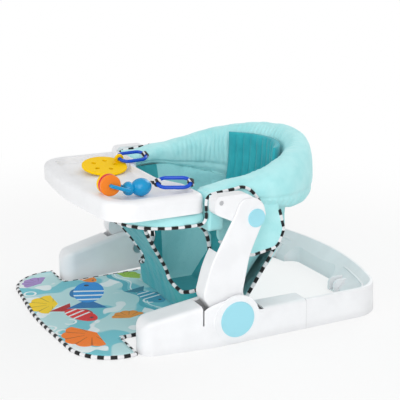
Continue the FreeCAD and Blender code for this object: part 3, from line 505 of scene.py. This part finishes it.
def inOutline(point, outline):
    inside = False
    for a, b in zip(outline, outline[1:] + outline[:1]):
        if (a.y > point.y) != (b.y > point.y):
            if point.x < a.x + (point.y - a.y) * (b.x - a.x) / (b.y - a.y):
                inside = not inside
    return inside


def ontoOutline(point, outline):  # the nearest point of a closed outline
    best = None
    for a, b in zip(outline, outline[1:] + outline[:1]):
        along = b - a
        share = min(max((point - a).dot(along) / max(along.length_squared, shortest), 0), 1)
        found = a + along * share
        if best is None or (found - point).length < (best - point).length:
            best = found
    return best


mergeWithin = 0.01 * mm


def addPiece(name, bm, body, slot, hides=(), wall=0.0):  # hides names the CAD nodes that it stands for
    bmesh.ops.remove_doubles(bm, verts=bm.verts, dist=mergeWithin)
    bmesh.ops.recalc_face_normals(bm, faces=bm.faces)
    mesh = bpy.data.meshes.new(name)
    bm.to_mesh(mesh)
    bm.free()
    mesh.shade_smooth()
    mesh.materials.append(materials[slot])
    piece = bpy.data.objects.new(name, mesh)
    bpy.context.scene.collection.objects.link(piece)
    if wall:
        solid = piece.modifiers.new("wall", "SOLIDIFY")
        solid.thickness = wall * mm
        solid.offset = 0
        solid.use_even_offset = False
    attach(piece, body)
    if hides:
        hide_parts(*hides)
    return piece


def gridOver(across, along, place, wide=1.0):  # a grid laid on a surface, its UV map this many units wide
    bm = bmesh.new()
    uvMap = bm.loops.layers.uv.new("UVMap")
    bmesh.ops.create_grid(bm, x_segments=across, y_segments=along, size=0.5, calc_uvs=True)
    for face in bm.faces:
        for loop in face.loops:
            loop[uvMap].uv = ((loop.vert.co.x + 0.5) * wide, loop.vert.co.y + 0.5)
    for vert in bm.verts:
        vert.co = place(vert.co.x + 0.5, vert.co.y + 0.5) * mm
    return bm


def cutSheet(outline, cell, place):  # a sheet of cloth cut along an outline
    low = Vector((min(p.x for p in outline), min(p.y for p in outline)))
    high = Vector((max(p.x for p in outline), max(p.y for p in outline)))
    size = high - low
    bm = bmesh.new()
    uvMap = bm.loops.layers.uv.new("UVMap")
    bmesh.ops.create_grid(bm, x_segments=round(size.x / cell), y_segments=round(size.y / cell), size=0.5)
    for vert in bm.verts:
        vert.co = (low.x + (vert.co.x + 0.5) * size.x, low.y + (vert.co.y + 0.5) * size.y, 0)
    outside = [f for f in bm.faces if not inOutline(f.calc_center_median().xy, outline)]
    bmesh.ops.delete(bm, geom=outside, context="FACES")
    for vert in bm.verts:
        if vert.is_boundary:
            vert.co.xy = ontoOutline(vert.co.xy, outline)
    for face in bm.faces:
        for loop in face.loops:
            loop[uvMap].uv = loop.vert.co.xy * mm
    for vert in bm.verts:
        vert.co = place(vert.co.x, vert.co.y) * mm
    return bm


def tubeAlong(points, radius, stripe, closed=False, sides=10, gap=2.0):  # its UV map counts the stripes
    length = smoothLine(points, 1, closed)[1]
    count = max(round(length / gap), sides)
    line = smoothLine(points, count, closed)[0]
    ahead = []
    for i in range(count + 1):
        if closed:
            ahead.append((line[(i + 1) % count] - line[(i - 1) % count]).normalized())
        else:
            ahead.append((line[min(i + 1, count)] - line[max(i - 1, 0)]).normalized())
    spoke = ahead[0].orthogonal().normalized()
    spokes = []
    for way in ahead:
        spoke = (spoke - way * spoke.dot(way)).normalized()
        spokes.append(spoke)
    if closed:
        spokes[-1] = spokes[0]
        ahead[-1] = ahead[0]

    def place(u, v):
        i = round(u * count)
        turn = 2 * math.pi * v
        outward = spokes[i] * math.cos(turn) + ahead[i].cross(spokes[i]) * math.sin(turn)
        size = radius
        if not closed:
            size *= roundEnd(min(i, count - i) / count * length, radius)
        return line[i] + outward * size

    return gridOver(count, sides, place, wide=max(round(length / stripe), 1))


piping = dict(radius=3.8, tight=3.1, stripe=24.0)


def addPiping(name, points, body, hides=(), closed=False, radius=piping["radius"]):
    bm = tubeAlong(points, radius, piping["stripe"], closed)
    return addPiece(name, bm, body, "striped_piping", hides)


# Padded seat ring: stations by the distance from its front end, with low, high and thickness.
# Places round its section are in degrees from the outer side over the top, each with a width.

ring = dict(
    radius=180.0, middle=38.0, front=-76.0,
    stations=[(0, 250, 284, 61), (56, 254, 293, 62), (114, 240, 301, 64),
              (208, 219, 325, 67), (302, 206, 343, 66), (397, 202, 350, 64)],
    fullness=0.84, endRound=14.0, least=0.1, cells=(420, 88),
    gatherPitch=12.5, gatherDepth=3.4, gatherWander=(5.0, 40.0),
    gatherTurn=(150.0, 44.0), gatherMore=(90.0, 220.0), gatherShares=(0.3, 0.7),
    underTurn=(322.0, 16.0), underShare=0.6,
    seamDepth=3.0, seams=[(205.0, 5.0), (340.0, 4.0)],
    skin=45.0, wrinkles=[(34.0, 2.2), (13.0, 0.5)],
)
ringSide = ring["middle"] - ring["front"]
ringLength = 2 * ringSide + math.pi * ring["radius"]


def ringLine(along):  # a point of the ring's middle line and the way out from it
    if along < ringSide:
        return Vector((ring["radius"], ring["front"] + along, 0)), Vector((1, 0, 0))
    if along > ringLength - ringSide:
        return Vector((-ring["radius"], ring["front"] + ringLength - along, 0)), Vector((-1, 0, 0))
    turn = (along - ringSide) / ring["radius"]
    out = Vector((math.cos(turn), math.sin(turn), 0))
    return Vector((0, ring["middle"], 0)) + out * ring["radius"], out


def ringSurface(u, v):
    along = ringLength * u
    inward = min(along, ringLength - along)
    low, high, thick = between(ring["stations"], inward)
    line, out = ringLine(along)
    turn = 2 * math.pi * v
    c, s = math.cos(turn), math.sin(turn)
    degrees = math.degrees(turn)
    spoke = out * (thick / 2 * power(c, ring["fullness"]))
    spoke += Vector((0, 0, (high - low) / 2 * power(s, ring["fullness"])))
    wander, wanderLength = ring["gatherWander"]
    wobble = wander * noise.noise(Vector((along / wanderLength, c, s)))
    folds = 0.5 + 0.5 * math.sin(2 * math.pi * (along + wobble) / ring["gatherPitch"])
    atFront, more = ring["gatherShares"]
    onTop = hump(degrees, *ring["gatherTurn"]) * (atFront + more * softStep(inward, *ring["gatherMore"]))
    under = hump(degrees, *ring["underTurn"]) * ring["underShare"]
    dent = ring["gatherDepth"] * folds * (onTop + under)
    for seam in ring["seams"]:
        dent += ring["seamDepth"] * hump(degrees, *seam)
    for size, depth in ring["wrinkles"]:
        dent += wrinkle((along, ring["skin"] * c, ring["skin"] * s), size, depth)
    spoke *= max(1 - dent / max(spoke.length, 1), ring["least"]) * roundEnd(inward, ring["endRound"])
    return line + Vector((0, 0, (low + high) / 2)) + spoke


bm = gridOver(*ring["cells"], ringSurface)
ringPad = addPiece("ringPadCover", bm, "seat", "mint_cloth", ["ring_pad"])

# Front band under the tray, and the cloth tabs over the ends of the tubes

band = dict(
    radius=186.0, corner=85.0, front=-205.0, start=-77.0, wide=36.0, tall=25.0, height=234.7,
    fullness=0.5, endRound=8.0, skin=12.0, wrinkles=(18.0, 0.05), seamShare=0.05, seam=(300.0, 8.0),
    cells=(240, 40),
)
bandSide = band["start"] - band["front"] - band["corner"]
bandArc = math.pi / 2 * band["corner"]
bandFlat = band["radius"] - band["corner"]
bandHalf = bandSide + bandArc + bandFlat
tab = dict(
    x=(163.0, 221.5), y=(-77.7, -48.0), z=(211.0, 282.0), fullness=0.25, endRound=1.6,
    seamDepth=1.4, seam=(0.35, 0.05), skin=30.0, wrinkles=(16.0, 1.2), cells=(24, 72),
)


def bandLine(along):
    if along < bandSide:
        return Vector((band["radius"], band["start"] - along, 0)), Vector((1, 0, 0))
    if along < bandSide + bandArc:
        turn = (along - bandSide) / band["corner"]
        out = Vector((math.cos(turn), -math.sin(turn), 0))
        return Vector((bandFlat, band["front"] + band["corner"], 0)) + out * band["corner"], out
    return Vector((bandHalf - along, band["front"], 0)), Vector((0, -1, 0))


def bandSurface(u, v):
    along = 2 * bandHalf * u
    inward = min(along, 2 * bandHalf - along)
    line, out = bandLine(inward)
    if along > bandHalf:
        line.x, out.x = -line.x, -out.x
    turn = 2 * math.pi * v
    c, s = math.cos(turn), math.sin(turn)
    spoke = out * (band["wide"] / 2 * power(c, band["fullness"]))
    spoke.z = band["tall"] / 2 * power(s, band["fullness"])
    dent = wrinkle((along, band["skin"] * c, band["skin"] * s), *band["wrinkles"])
    dent += band["seamShare"] * hump(math.degrees(turn), *band["seam"])
    spoke *= (1 - dent) * roundEnd(inward, band["endRound"])
    return line + Vector((0, 0, band["height"])) + spoke


bm = gridOver(*band["cells"], bandSurface)
bandPad = addPiece("frontBandCover", bm, "seat", "mint_cloth", ["front_band"])


def tabSurface(u, v, sign):
    middle = [sum(tab[axis]) / 2 for axis in "xyz"]
    half = [(tab[axis][1] - tab[axis][0]) / 2 for axis in "xyz"]
    turn = 2 * math.pi * v
    swell = roundEnd(min(u, 1 - u) * 2 * half[1], tab["endRound"])
    across = power(math.cos(turn), tab["fullness"]) * swell
    up = power(math.sin(turn), tab["fullness"]) * swell
    seam = tab["seamDepth"] * hump(across, *tab["seam"]) if u < 0.5 else 0
    fold = wrinkle((across * tab["skin"], u * tab["skin"], up * tab["skin"]), *tab["wrinkles"])
    y = tab["y"][0] + u * 2 * half[1] + seam
    return Vector((sign * (middle[0] + across * (half[0] + fold)), y + fold, middle[2] + up * half[2]))


for side, sign in (("Left", 1), ("Right", -1)):
    bm = gridOver(*tab["cells"], lambda u, v: tabSurface(u, v, sign))
    cover = addPiece("tabCover" + side, bm, "seat", "mint_cloth")
print("ring, front band and tabs made")

# Backrest with its sewn upright channels

back = dict(
    rows=[(204, 178.0), (262, 186.0), (326, 187.5)], radius=125.0, reach=53.1, thick=13.0,
    channels=12, channelDepth=3.6, channelRound=0.55, fullness=0.3, sideSharp=10, endSharp=8,
    cloth=260.0, wrinkles=(11.0, 0.9), cells=(240, 72),
)


def backSurface(u, v):
    low, high = back["rows"][0][0], back["rows"][-1][0]
    turn = 2 * math.pi * v
    up = power(math.sin(turn), back["fullness"])
    face = power(math.cos(turn), back["fullness"])  # 1 on the front, -1 on the back
    edge = math.sqrt(1 - abs(2 * u - 1) ** back["sideSharp"])
    z = (low + high) / 2 + up * (high - low) / 2
    backY = between(back["rows"], z)[0]
    swell = abs(math.sin(math.pi * back["channels"] * u)) ** back["channelRound"]
    fold = wrinkle((u * back["cloth"], z, 2), *back["wrinkles"])
    depth = back["thick"] / 2 * (1 - face * edge)
    radius = back["radius"] - back["thick"] + depth
    if face > 0:
        radius -= (back["channelDepth"] * swell + fold) * face * edge * (1 - up ** back["endSharp"])
    angle = math.radians(back["reach"] * (1 - 2 * u))
    return Vector((radius * math.sin(angle), backY - back["radius"] + radius * math.cos(angle), z))


bm = gridOver(*back["cells"], backSurface)
backRest = addPiece("backRestCover", bm, "seat", "turquoise_cloth", ["back_pad"])

# Hanging pouch: rows by height, with half width, front, back, front rounding and back rounding.
# Its top edge rises into the ring behind the arms, and the cloth is cut away behind the backrest.

pouch = dict(
    rows=[(8.3, 134, -76, 38, 38, 52), (50, 136, -84, 70, 51, 66), (100, 139, -100, 112, 60, 84),
          (150, 143, -132, 150, 60, 92), (200, 147, -166, 176, 60, 104), (226, 150, -181, 182, 60, 124),
          (242, 161, -188, 190, 66, 140)],
    wall=3.0, backTop=203.0, backFrom=50.0, backHalf=114.0, tuck=8.0, floorShare=0.12, cells=(260, 110),
    rise=13.0, riseTall=16.0, riseFrom=(-84.0, -68.0), riseTo=(20.0, 50.0),
    drop=0.5, wrinkles=[(26.0, 3.2), (9.0, 0.8)], inset=2.5,
    gather=1.6, gatherLength=9.0, gatherCloud=60.0, gatherWander=2.0, gatherFrom=(150.0, 235.0),
)
leg = dict(
    x=108.0, y=-80.0, turn=34.0, half=54.0, low=52.0, high=222.0, round=50.0,
    steps=12, snap=6.0, pipingIn=3.5, pipingEvery=5,
)
legAlong = Vector((math.sin(math.radians(leg["turn"])), -math.cos(math.radians(leg["turn"])), 0))
legAcross = Vector((-legAlong.y, legAlong.x, 0))


def pouchLine(share, x, front, rear, frontR, backR):  # how far along its half outline, and the place there
    flat = x - frontR
    side = (rear - backR) - (front + frontR)
    arcs = [math.pi / 2 * frontR, math.pi / 2 * backR]
    total = flat + arcs[0] + side + arcs[1] + x - backR
    along = total * share
    if along < flat:
        return along, Vector((along, front, 0))
    if along < flat + arcs[0]:
        turn = (along - flat) / frontR
        return along, Vector((flat + frontR * math.sin(turn), front + frontR * (1 - math.cos(turn)), 0))
    if along < flat + arcs[0] + side:
        return along, Vector((x, front + frontR + along - flat - arcs[0], 0))
    if along < total - x + backR:
        turn = (along - flat - arcs[0] - side) / backR
        return along, Vector((x - backR * (1 - math.cos(turn)), rear - backR * (1 - math.sin(turn)), 0))
    return along, Vector((total - along, rear, 0))


def pouchSurface(u, v):
    wallShare = 1 - pouch["floorShare"]
    down = min(v / wallShare, 1)
    low, high = pouch["rows"][0][0], pouch["rows"][-1][0]
    z = high + (low - high) * down
    x, front, rear, frontR, backR = between(pouch["rows"], z)
    sign = 1 if u <= 0.5 else -1
    along, point = pouchLine(2 * min(u, 1 - u), x, front, rear, frontR, backR)
    middle = Vector((0, (front + rear) / 2, 0))
    out = (point - middle).normalized()
    (wide, deep), (fine, shallow) = pouch["wrinkles"]
    fold = wrinkle((point.x * sign, point.y, z * pouch["drop"]), wide, deep)
    fold += wrinkle((point.x * sign, point.y, z), fine, shallow)
    cloud = noise.noise(Vector((along / pouch["gatherCloud"], z / pouch["gatherCloud"], 1)))
    gather = math.sin(along / pouch["gatherLength"] + pouch["gatherWander"] * cloud)
    gather *= softStep(z, *pouch["gatherFrom"])
    point += out * (fold + pouch["gather"] * gather - pouch["inset"])
    if v > wallShare:
        point = middle + (point - middle) * (1 - (v - wallShare) / pouch["floorShare"])
    inRing = softStep(point.y, *pouch["riseFrom"]) * (1 - softStep(point.y, *pouch["riseTo"]))
    z += pouch["rise"] * softStep(z, high - pouch["riseTall"], high) * inRing
    return Vector((point.x * sign, point.y, z))


def legPlace(across, height):
    start = Vector((leg["x"], leg["y"], 0)) - legAlong * leg["half"]
    return start + legAcross * across + Vector((0, 0, height))


def legOutline(inset):
    half, r = leg["half"] - inset, leg["round"] - inset
    low, high = leg["low"] + inset, leg["high"] - inset
    return roundedOutline([(half, low, r), (half, high, r), (-half, high, r), (-half, low, r)], leg["steps"])


bm = gridOver(*pouch["cells"], pouchSurface)
whole = BVHTree.FromBMesh(bm)
opening = legOutline(0)


def ontoPouch(across, height, sign):
    start = legPlace(across, height)
    way = legAlong.copy()
    start.x, way.x = sign * start.x, sign * way.x
    return whole.ray_cast(start * mm, way)[0]


# The leg openings and what lies behind the backrest or inside the ring are cut away
start = legPlace(0, 0)
dropped = []
for face in bm.faces:
    centre = face.calc_center_median() / mm
    fromStart = Vector((abs(centre.x), centre.y, centre.z)) - start
    flatPlace = Vector((fromStart.dot(legAcross), centre.z))
    inLeg = fromStart.dot(legAlong) > 0 and inOutline(flatPlace, opening)
    turn = math.atan2(max(centre.y - ring["middle"], 0), abs(centre.x))
    ringLow = between(ring["stations"], ringSide + ring["radius"] * turn)[0]
    behindBack = centre.z > pouch["backTop"] and abs(centre.x) < pouch["backHalf"]
    if inLeg or centre.y > pouch["backFrom"] and (behindBack or centre.z > ringLow + pouch["tuck"]):
        dropped.append(face)
bmesh.ops.delete(bm, geom=dropped, context="FACES")
for vert in bm.verts:  # the openings' edges are drawn onto their outlines
    place = vert.co / mm
    fromStart = Vector((abs(place.x), place.y, 0)) - start
    flatPlace = Vector((fromStart.dot(legAcross), place.z))
    edge = ontoOutline(flatPlace, opening)
    if vert.is_boundary and (edge - flatPlace).length < leg["snap"] and fromStart.dot(legAlong) > 0:
        found = ontoPouch(edge.x, edge.y, math.copysign(1, place.x))
        if found:
            vert.co = found
seatPouch = addPiece("pouchCloth", bm, "seat", "teal_cloth", ["seat_pouch"], wall=pouch["wall"])

pieces = {"pouchCloth": seatPouch}
for side, sign in (("left", 1), ("right", -1)):
    line = legOutline(leg["pipingIn"])[::leg["pipingEvery"]]
    found = [ontoPouch(p.x, p.y, sign) for p in line]
    points = [place / mm for place in found if place]
    name = "legPiping" + side.title()
    pieces[name] = addPiping(name, points, "seat", ["leg_piping_" + side], closed=True)
print("backrest and pouch made")

# Rear panel: rows by height, with half width, the edge's place and the middle's place

panel = dict(
    rows=[(8.3, 142, 37, 65), (38, 142, 52, 100), (90, 144, 86, 148), (155, 146, 121, 184),
          (200, 142, 117, 190), (238, 142, 115, 192)],
    wall=3.0, folds=4, wave=5.0, cloth=260.0, cells=(200, 130), back=1.0, loose=(236.0, 190.0),
    bend=18.0, bends=(3.0, 70.0), crease=5.2, creaseLength=8.5, creases=(5.0, 60.0),
    drop=0.5, wrinkles=(24.0, 3.0),
    pipingHeights=(205, 180, 155, 120, 90, 60, 38, 22, 9.5),
)


def panelPlace(u, z, out=0.0):
    half, edge, rear = between(panel["rows"], z)
    middle = (rear**2 - edge**2 - half**2) / (2 * (rear - edge))
    radius = rear - middle
    angle = math.asin(half / radius) * (1 - 2 * u)
    radius += out
    return Vector((radius * math.sin(angle), middle + radius * math.cos(angle), z))


def panelSurface(u, v):
    z = panel["rows"][-1][0] + (panel["rows"][0][0] - panel["rows"][-1][0]) * v
    wave = -panel["wave"] / 2 * math.cos(2 * math.pi * panel["folds"] * u)
    across, down = panel["bends"]
    bent = u * panel["cloth"] + panel["bend"] * noise.noise(Vector((u * across, z / down, 6)))
    across, down = panel["creases"]
    crease = math.sin(bent / panel["creaseLength"]) * noise.noise(Vector((u * across, z / down, 2)))
    fold = wrinkle((u * panel["cloth"], z * panel["drop"], 1), *panel["wrinkles"])
    wave += softStep(z, *panel["loose"]) * (panel["crease"] * crease + fold)
    return panelPlace(u, z, wave - panel["back"])


rearPanel = addPiece("rearPanelCloth", gridOver(*panel["cells"], panelSurface), "seat", "mint_cloth",
                     ["rear_panel"], wall=panel["wall"])
pieces["rearPanelCloth"] = rearPanel
for side, edge in (("left", 0.0), ("right", 1.0)):
    points = [panelPlace(edge, z, -panel["back"]) for z in panel["pipingHeights"]]
    name = "rearPiping" + side.title()
    pieces[name] = addPiping(name, points, "seat", ["rear_piping_" + side])

# Side flaps behind the arms

flap = dict(
    x=198.0, wall=3.2, cell=4.0, loose=(250.0, 190.0), drop=0.6, wrinkles=(30.0, 5.0),
    crease=1.6, creaseLengths=(7.0, 30.0), creaseCloud=40.0,
    pipingFrom=-44.0, pipingTo=232.0, pipingStart=0.45,
    corners=[(-50, 262, 4), (78, 262, 4), (98, 188, 20), (84, 155, 18), (18, 143, 60), (-50, 187, 20)],
)


def flapOut(y, z):
    across, down = flap["creaseLengths"]
    crease = math.sin(y / across + z / down) * noise.noise(Vector((y, z, 0)) / flap["creaseCloud"])
    fold = wrinkle((y, z * flap["drop"], 12), *flap["wrinkles"]) + flap["crease"] * crease
    return flap["x"] + softStep(z, *flap["loose"]) * fold


for side, sign in (("left", 1), ("right", -1)):
    outline = roundedOutline(flap["corners"])
    bm = cutSheet(outline, flap["cell"], lambda y, z: Vector((sign * flapOut(y, z), y, z)))
    name = "flapCloth" + side.title()
    pieces[name] = addPiece(name, bm, "seat", "mint_cloth", ["side_flap_" + side], wall=flap["wall"])
    top = 2 * cornerPoints  # the outline's first two corners lie on the ring
    edge = [outline[top - 1].lerp(outline[top], flap["pipingStart"])]
    edge += [p for p in outline[top:] + outline[:1] if p.x > flap["pipingFrom"] and p.y < flap["pipingTo"]]
    points = [(sign * flapOut(p.x, p.y), p.x, p.y) for p in edge]
    name = "flapPiping" + side.title()
    pieces[name] = addPiping(name, points, "seat", ["flap_piping_" + side])
print("rear panel and side flaps made")

# Piping over the arms' heads and along the front band

arch = dict(
    points=[(215.5, -81.5, 250), (215.5, -81.5, 265), (215, -79, 275.5), (213, -70, 280.5), (212, -56, 282.5),
            (212, -22, 285.5), (211, -3, 287), (213, 15, 278), (213, 32, 257), (207, 41, 243)],
    under=[(215.5, -81.5, 250), (215, -81.5, 238), (210, -85, 227), (206, -96, 223.5), (204, -122, 223),
           (196, -158, 223), (174, -193, 223), (140, -214, 223), (101, -223, 223), (50, -225, 223),
           (0, -225, 223)],
)
for side, sign in (("left", 1), ("right", -1)):
    points = [(sign * x, y, z) for x, y, z in arch["points"]]
    addPiping("archPiping" + side.title(), points, "seat", ["arch_piping_" + side], radius=piping["tight"])
    points = [(sign * x, y, z) for x, y, z in arch["under"]]
    addPiping("bandPiping" + side.title(), points, "seat", radius=piping["tight"])

# Floor mat

mat = dict(
    half=250.0, shift=-14.0, back=-229.0, side=-331.0, front=-350.0, waist=168.0, waistEnd=20.0,
    horn=8.0, corner=92.0, bow=700.0, notch=12.0, steps=10, cell=5.0,
    thick=7.0, inset=6.3, middle=4.0, lower=0.2, stretch=0.7, wrinkles=[(60.0, 0.7), (17.0, 0.3)],
)


def matOutline(inset):
    half, waist = mat["half"] - inset, mat["waist"] - inset
    rear, side, front = mat["back"] - inset, mat["side"] + inset, mat["front"] + inset
    horn, corner, notch = mat["horn"] - inset, mat["corner"] - inset, mat["notch"]
    end = mat["waistEnd"] - inset
    corners = [(half, rear, horn), (half, side, corner), (0, front, mat["bow"]), (-half, side, corner),
               (-half, rear, horn), (-waist, rear, notch + inset), (-waist, end, notch),
               (waist, end, notch), (waist, rear, notch + inset)]
    return roundedOutline([(x + mat["shift"], y, r) for x, y, r in corners], mat["steps"])


def matPlace(x, y):
    (wide, high), (fine, low) = mat["wrinkles"]
    fold = wrinkle((x, y * mat["stretch"], 0), wide, high) + wrinkle((x, y, 5), fine, low)
    return Vector((x, y, mat["middle"] - mat["lower"] + fold))


bm = cutSheet(matOutline(mat["inset"]), mat["cell"], matPlace)
matCloth = addPiece("matCloth", bm, "base", "mat_cloth", ["floor_mat"], wall=mat["thick"])
points = [(p.x, p.y, mat["middle"]) for p in matOutline(piping["radius"])]
addPiping("matPiping", points, "base", ["mat_piping"], closed=True)

# A raised ridge on the hoop's inner slope

hoop = dict(width=530.0, length=696.0, corner=75.0, bulge=605.0)
ridge = dict(inset=25.0, height=45.5, radius=2.2, start=128.0, clear=104.0, sideSteps=6, steps=8)


def hoopLine(inset):
    half, corner = hoop["width"] / 2 - inset, hoop["corner"] - inset
    bulge, rear = hoop["bulge"] - inset, hoop["length"] / 2 - inset
    middle = rear - bulge
    cornerX = half - corner
    cornerY = middle + math.sqrt((bulge - corner) ** 2 - cornerX**2)
    turn = math.atan2(cornerY - middle, cornerX)
    start, sideSteps, steps = ridge["start"], ridge["sideSteps"], ridge["steps"]
    points = [Vector((half, start + k * (cornerY - start) / sideSteps)) for k in range(sideSteps)]
    for k in range(steps + 1):
        angle = turn * k / steps
        points.append(Vector((cornerX + corner * math.cos(angle), cornerY + corner * math.sin(angle))))
    for k in range(1, steps + 1):
        angle = turn + (math.pi / 2 - turn) * k / steps
        points.append(Vector((bulge * math.cos(angle), middle + bulge * math.sin(angle))))
    return [p for p in points if p.x > ridge["clear"]]


for side, sign in (("Left", 1), ("Right", -1)):
    points = [(sign * p.x, p.y, ridge["height"]) for p in hoopLine(ridge["inset"])]
    bm = tubeAlong(points, ridge["radius"], piping["stripe"])
    addPiece("hoopRidge" + side, bm, "base", "white_shell")
print("soft pieces made")

# Each hanging cloth piece gets a mesh of its own

for piece in pieces.values():
    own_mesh(piece)


# Camera, floor and light

camera = dict(
    turn=63.21, lift=15.45, away=1965.54, target=(-26.71, 28.04, 199.26),
    lens=83.06, sensor=36.0, reach=100.0,
)
turn = math.radians(camera["turn"])
lift = math.radians(camera["lift"])
toEye = Vector((math.sin(turn) * math.cos(lift), -math.cos(turn) * math.cos(lift), math.sin(lift)))
eye = bpy.data.objects.new("camera", bpy.data.cameras.new("camera"))
bpy.context.scene.collection.objects.link(eye)
eye.data.lens = camera["lens"]
eye.data.sensor_width = camera["sensor"]
eye.location = (Vector(camera["target"]) + toEye * camera["away"]) * mm
eye.rotation_euler = (-toEye).to_track_quat("-Z", "Y").to_euler()
eye.data.clip_end = camera["reach"]
bpy.context.scene.camera = eye

# The camera sees a plain white floor, with a share of the lit one near the object for its shadow
ground = dict(
    size=12.0, colour=(0.9, 0.9, 0.9), glow=(1.0, 1.0, 1.0), strength=1.0, near=0.6, far=1.5, glowNear=0.7,
)
bm = bmesh.new()
bmesh.ops.create_grid(bm, x_segments=1, y_segments=1, size=ground["size"])
mesh = bpy.data.meshes.new("floor")
bm.to_mesh(mesh)
bm.free()
floor = bpy.data.objects.new("floor", mesh)
bpy.context.scene.collection.objects.link(floor)
look = Look("floor")
rays = look.add("ShaderNodeLightPath").socket.node
seen = Value(look, rays.outputs["Is Camera Ray"]).most(Value(look, rays.outputs["Is Glossy Ray"]))
seen = seen.most(Value(look, rays.outputs["Is Transmission Ray"]))
lit = look.add("ShaderNodeBsdfDiffuse", None, {"Color": ground["colour"]})
glow = look.add("ShaderNodeEmission", None, {"Color": ground["glow"], "Strength": ground["strength"]})
far = distance(*look.axes(look.place())[:2]).step(ground["near"], ground["far"])
share = far * (1 - ground["glowNear"]) + ground["glowNear"]
surface = look.add("ShaderNodeMixShader", None, {0: seen * share, 1: lit, 2: glow})
look.tree.links.new(surface.socket, look.out.inputs["Surface"])
floor.data.materials.append(look.material)

# The white room: the light that it gives, and what the camera sees of it
room = dict(colour=(1, 1, 1), light=0.66, seen=1.0)
world = bpy.data.worlds.new("world")
world.use_nodes = True
bpy.context.scene.world = world
sky = world.node_tree
sky.nodes["Background"].inputs[0].default_value = (*room["colour"], 1)
paths = sky.nodes.new("ShaderNodeLightPath")
level = sky.nodes.new("ShaderNodeMapRange")
level.inputs[3].default_value = room["light"]
level.inputs[4].default_value = room["seen"]
sky.links.new(paths.outputs["Is Camera Ray"], level.inputs[0])
sky.links.new(level.outputs[0], sky.nodes["Background"].inputs[1])

lamps = {
    "key": dict(place=(2.2, -1.0, 1.5), size=1.7, power=20),
    "fill": dict(place=(0.6, -2.6, 1.2), size=1.8, power=9),
    "low": dict(place=(2.2, -1.5, 0.35), size=1.2, power=7),
    "rim": dict(place=(-1.2, 2.2, 1.6), size=1.6, power=21),
}
lampAim = Vector((0, 0, 0.15))
for name, facts in lamps.items():
    data = bpy.data.lights.new(name, "AREA")
    data.energy = facts["power"]
    data.size = facts["size"]
    lamp = bpy.data.objects.new(name, data)
    lamp.location = facts["place"]
    lamp.rotation_euler = (lampAim - lamp.location).to_track_quat("-Z", "Y").to_euler()
    bpy.context.scene.collection.objects.link(lamp)
bpy.context.scene.view_settings.view_transform = "Standard"
print("camera, floor and light set")
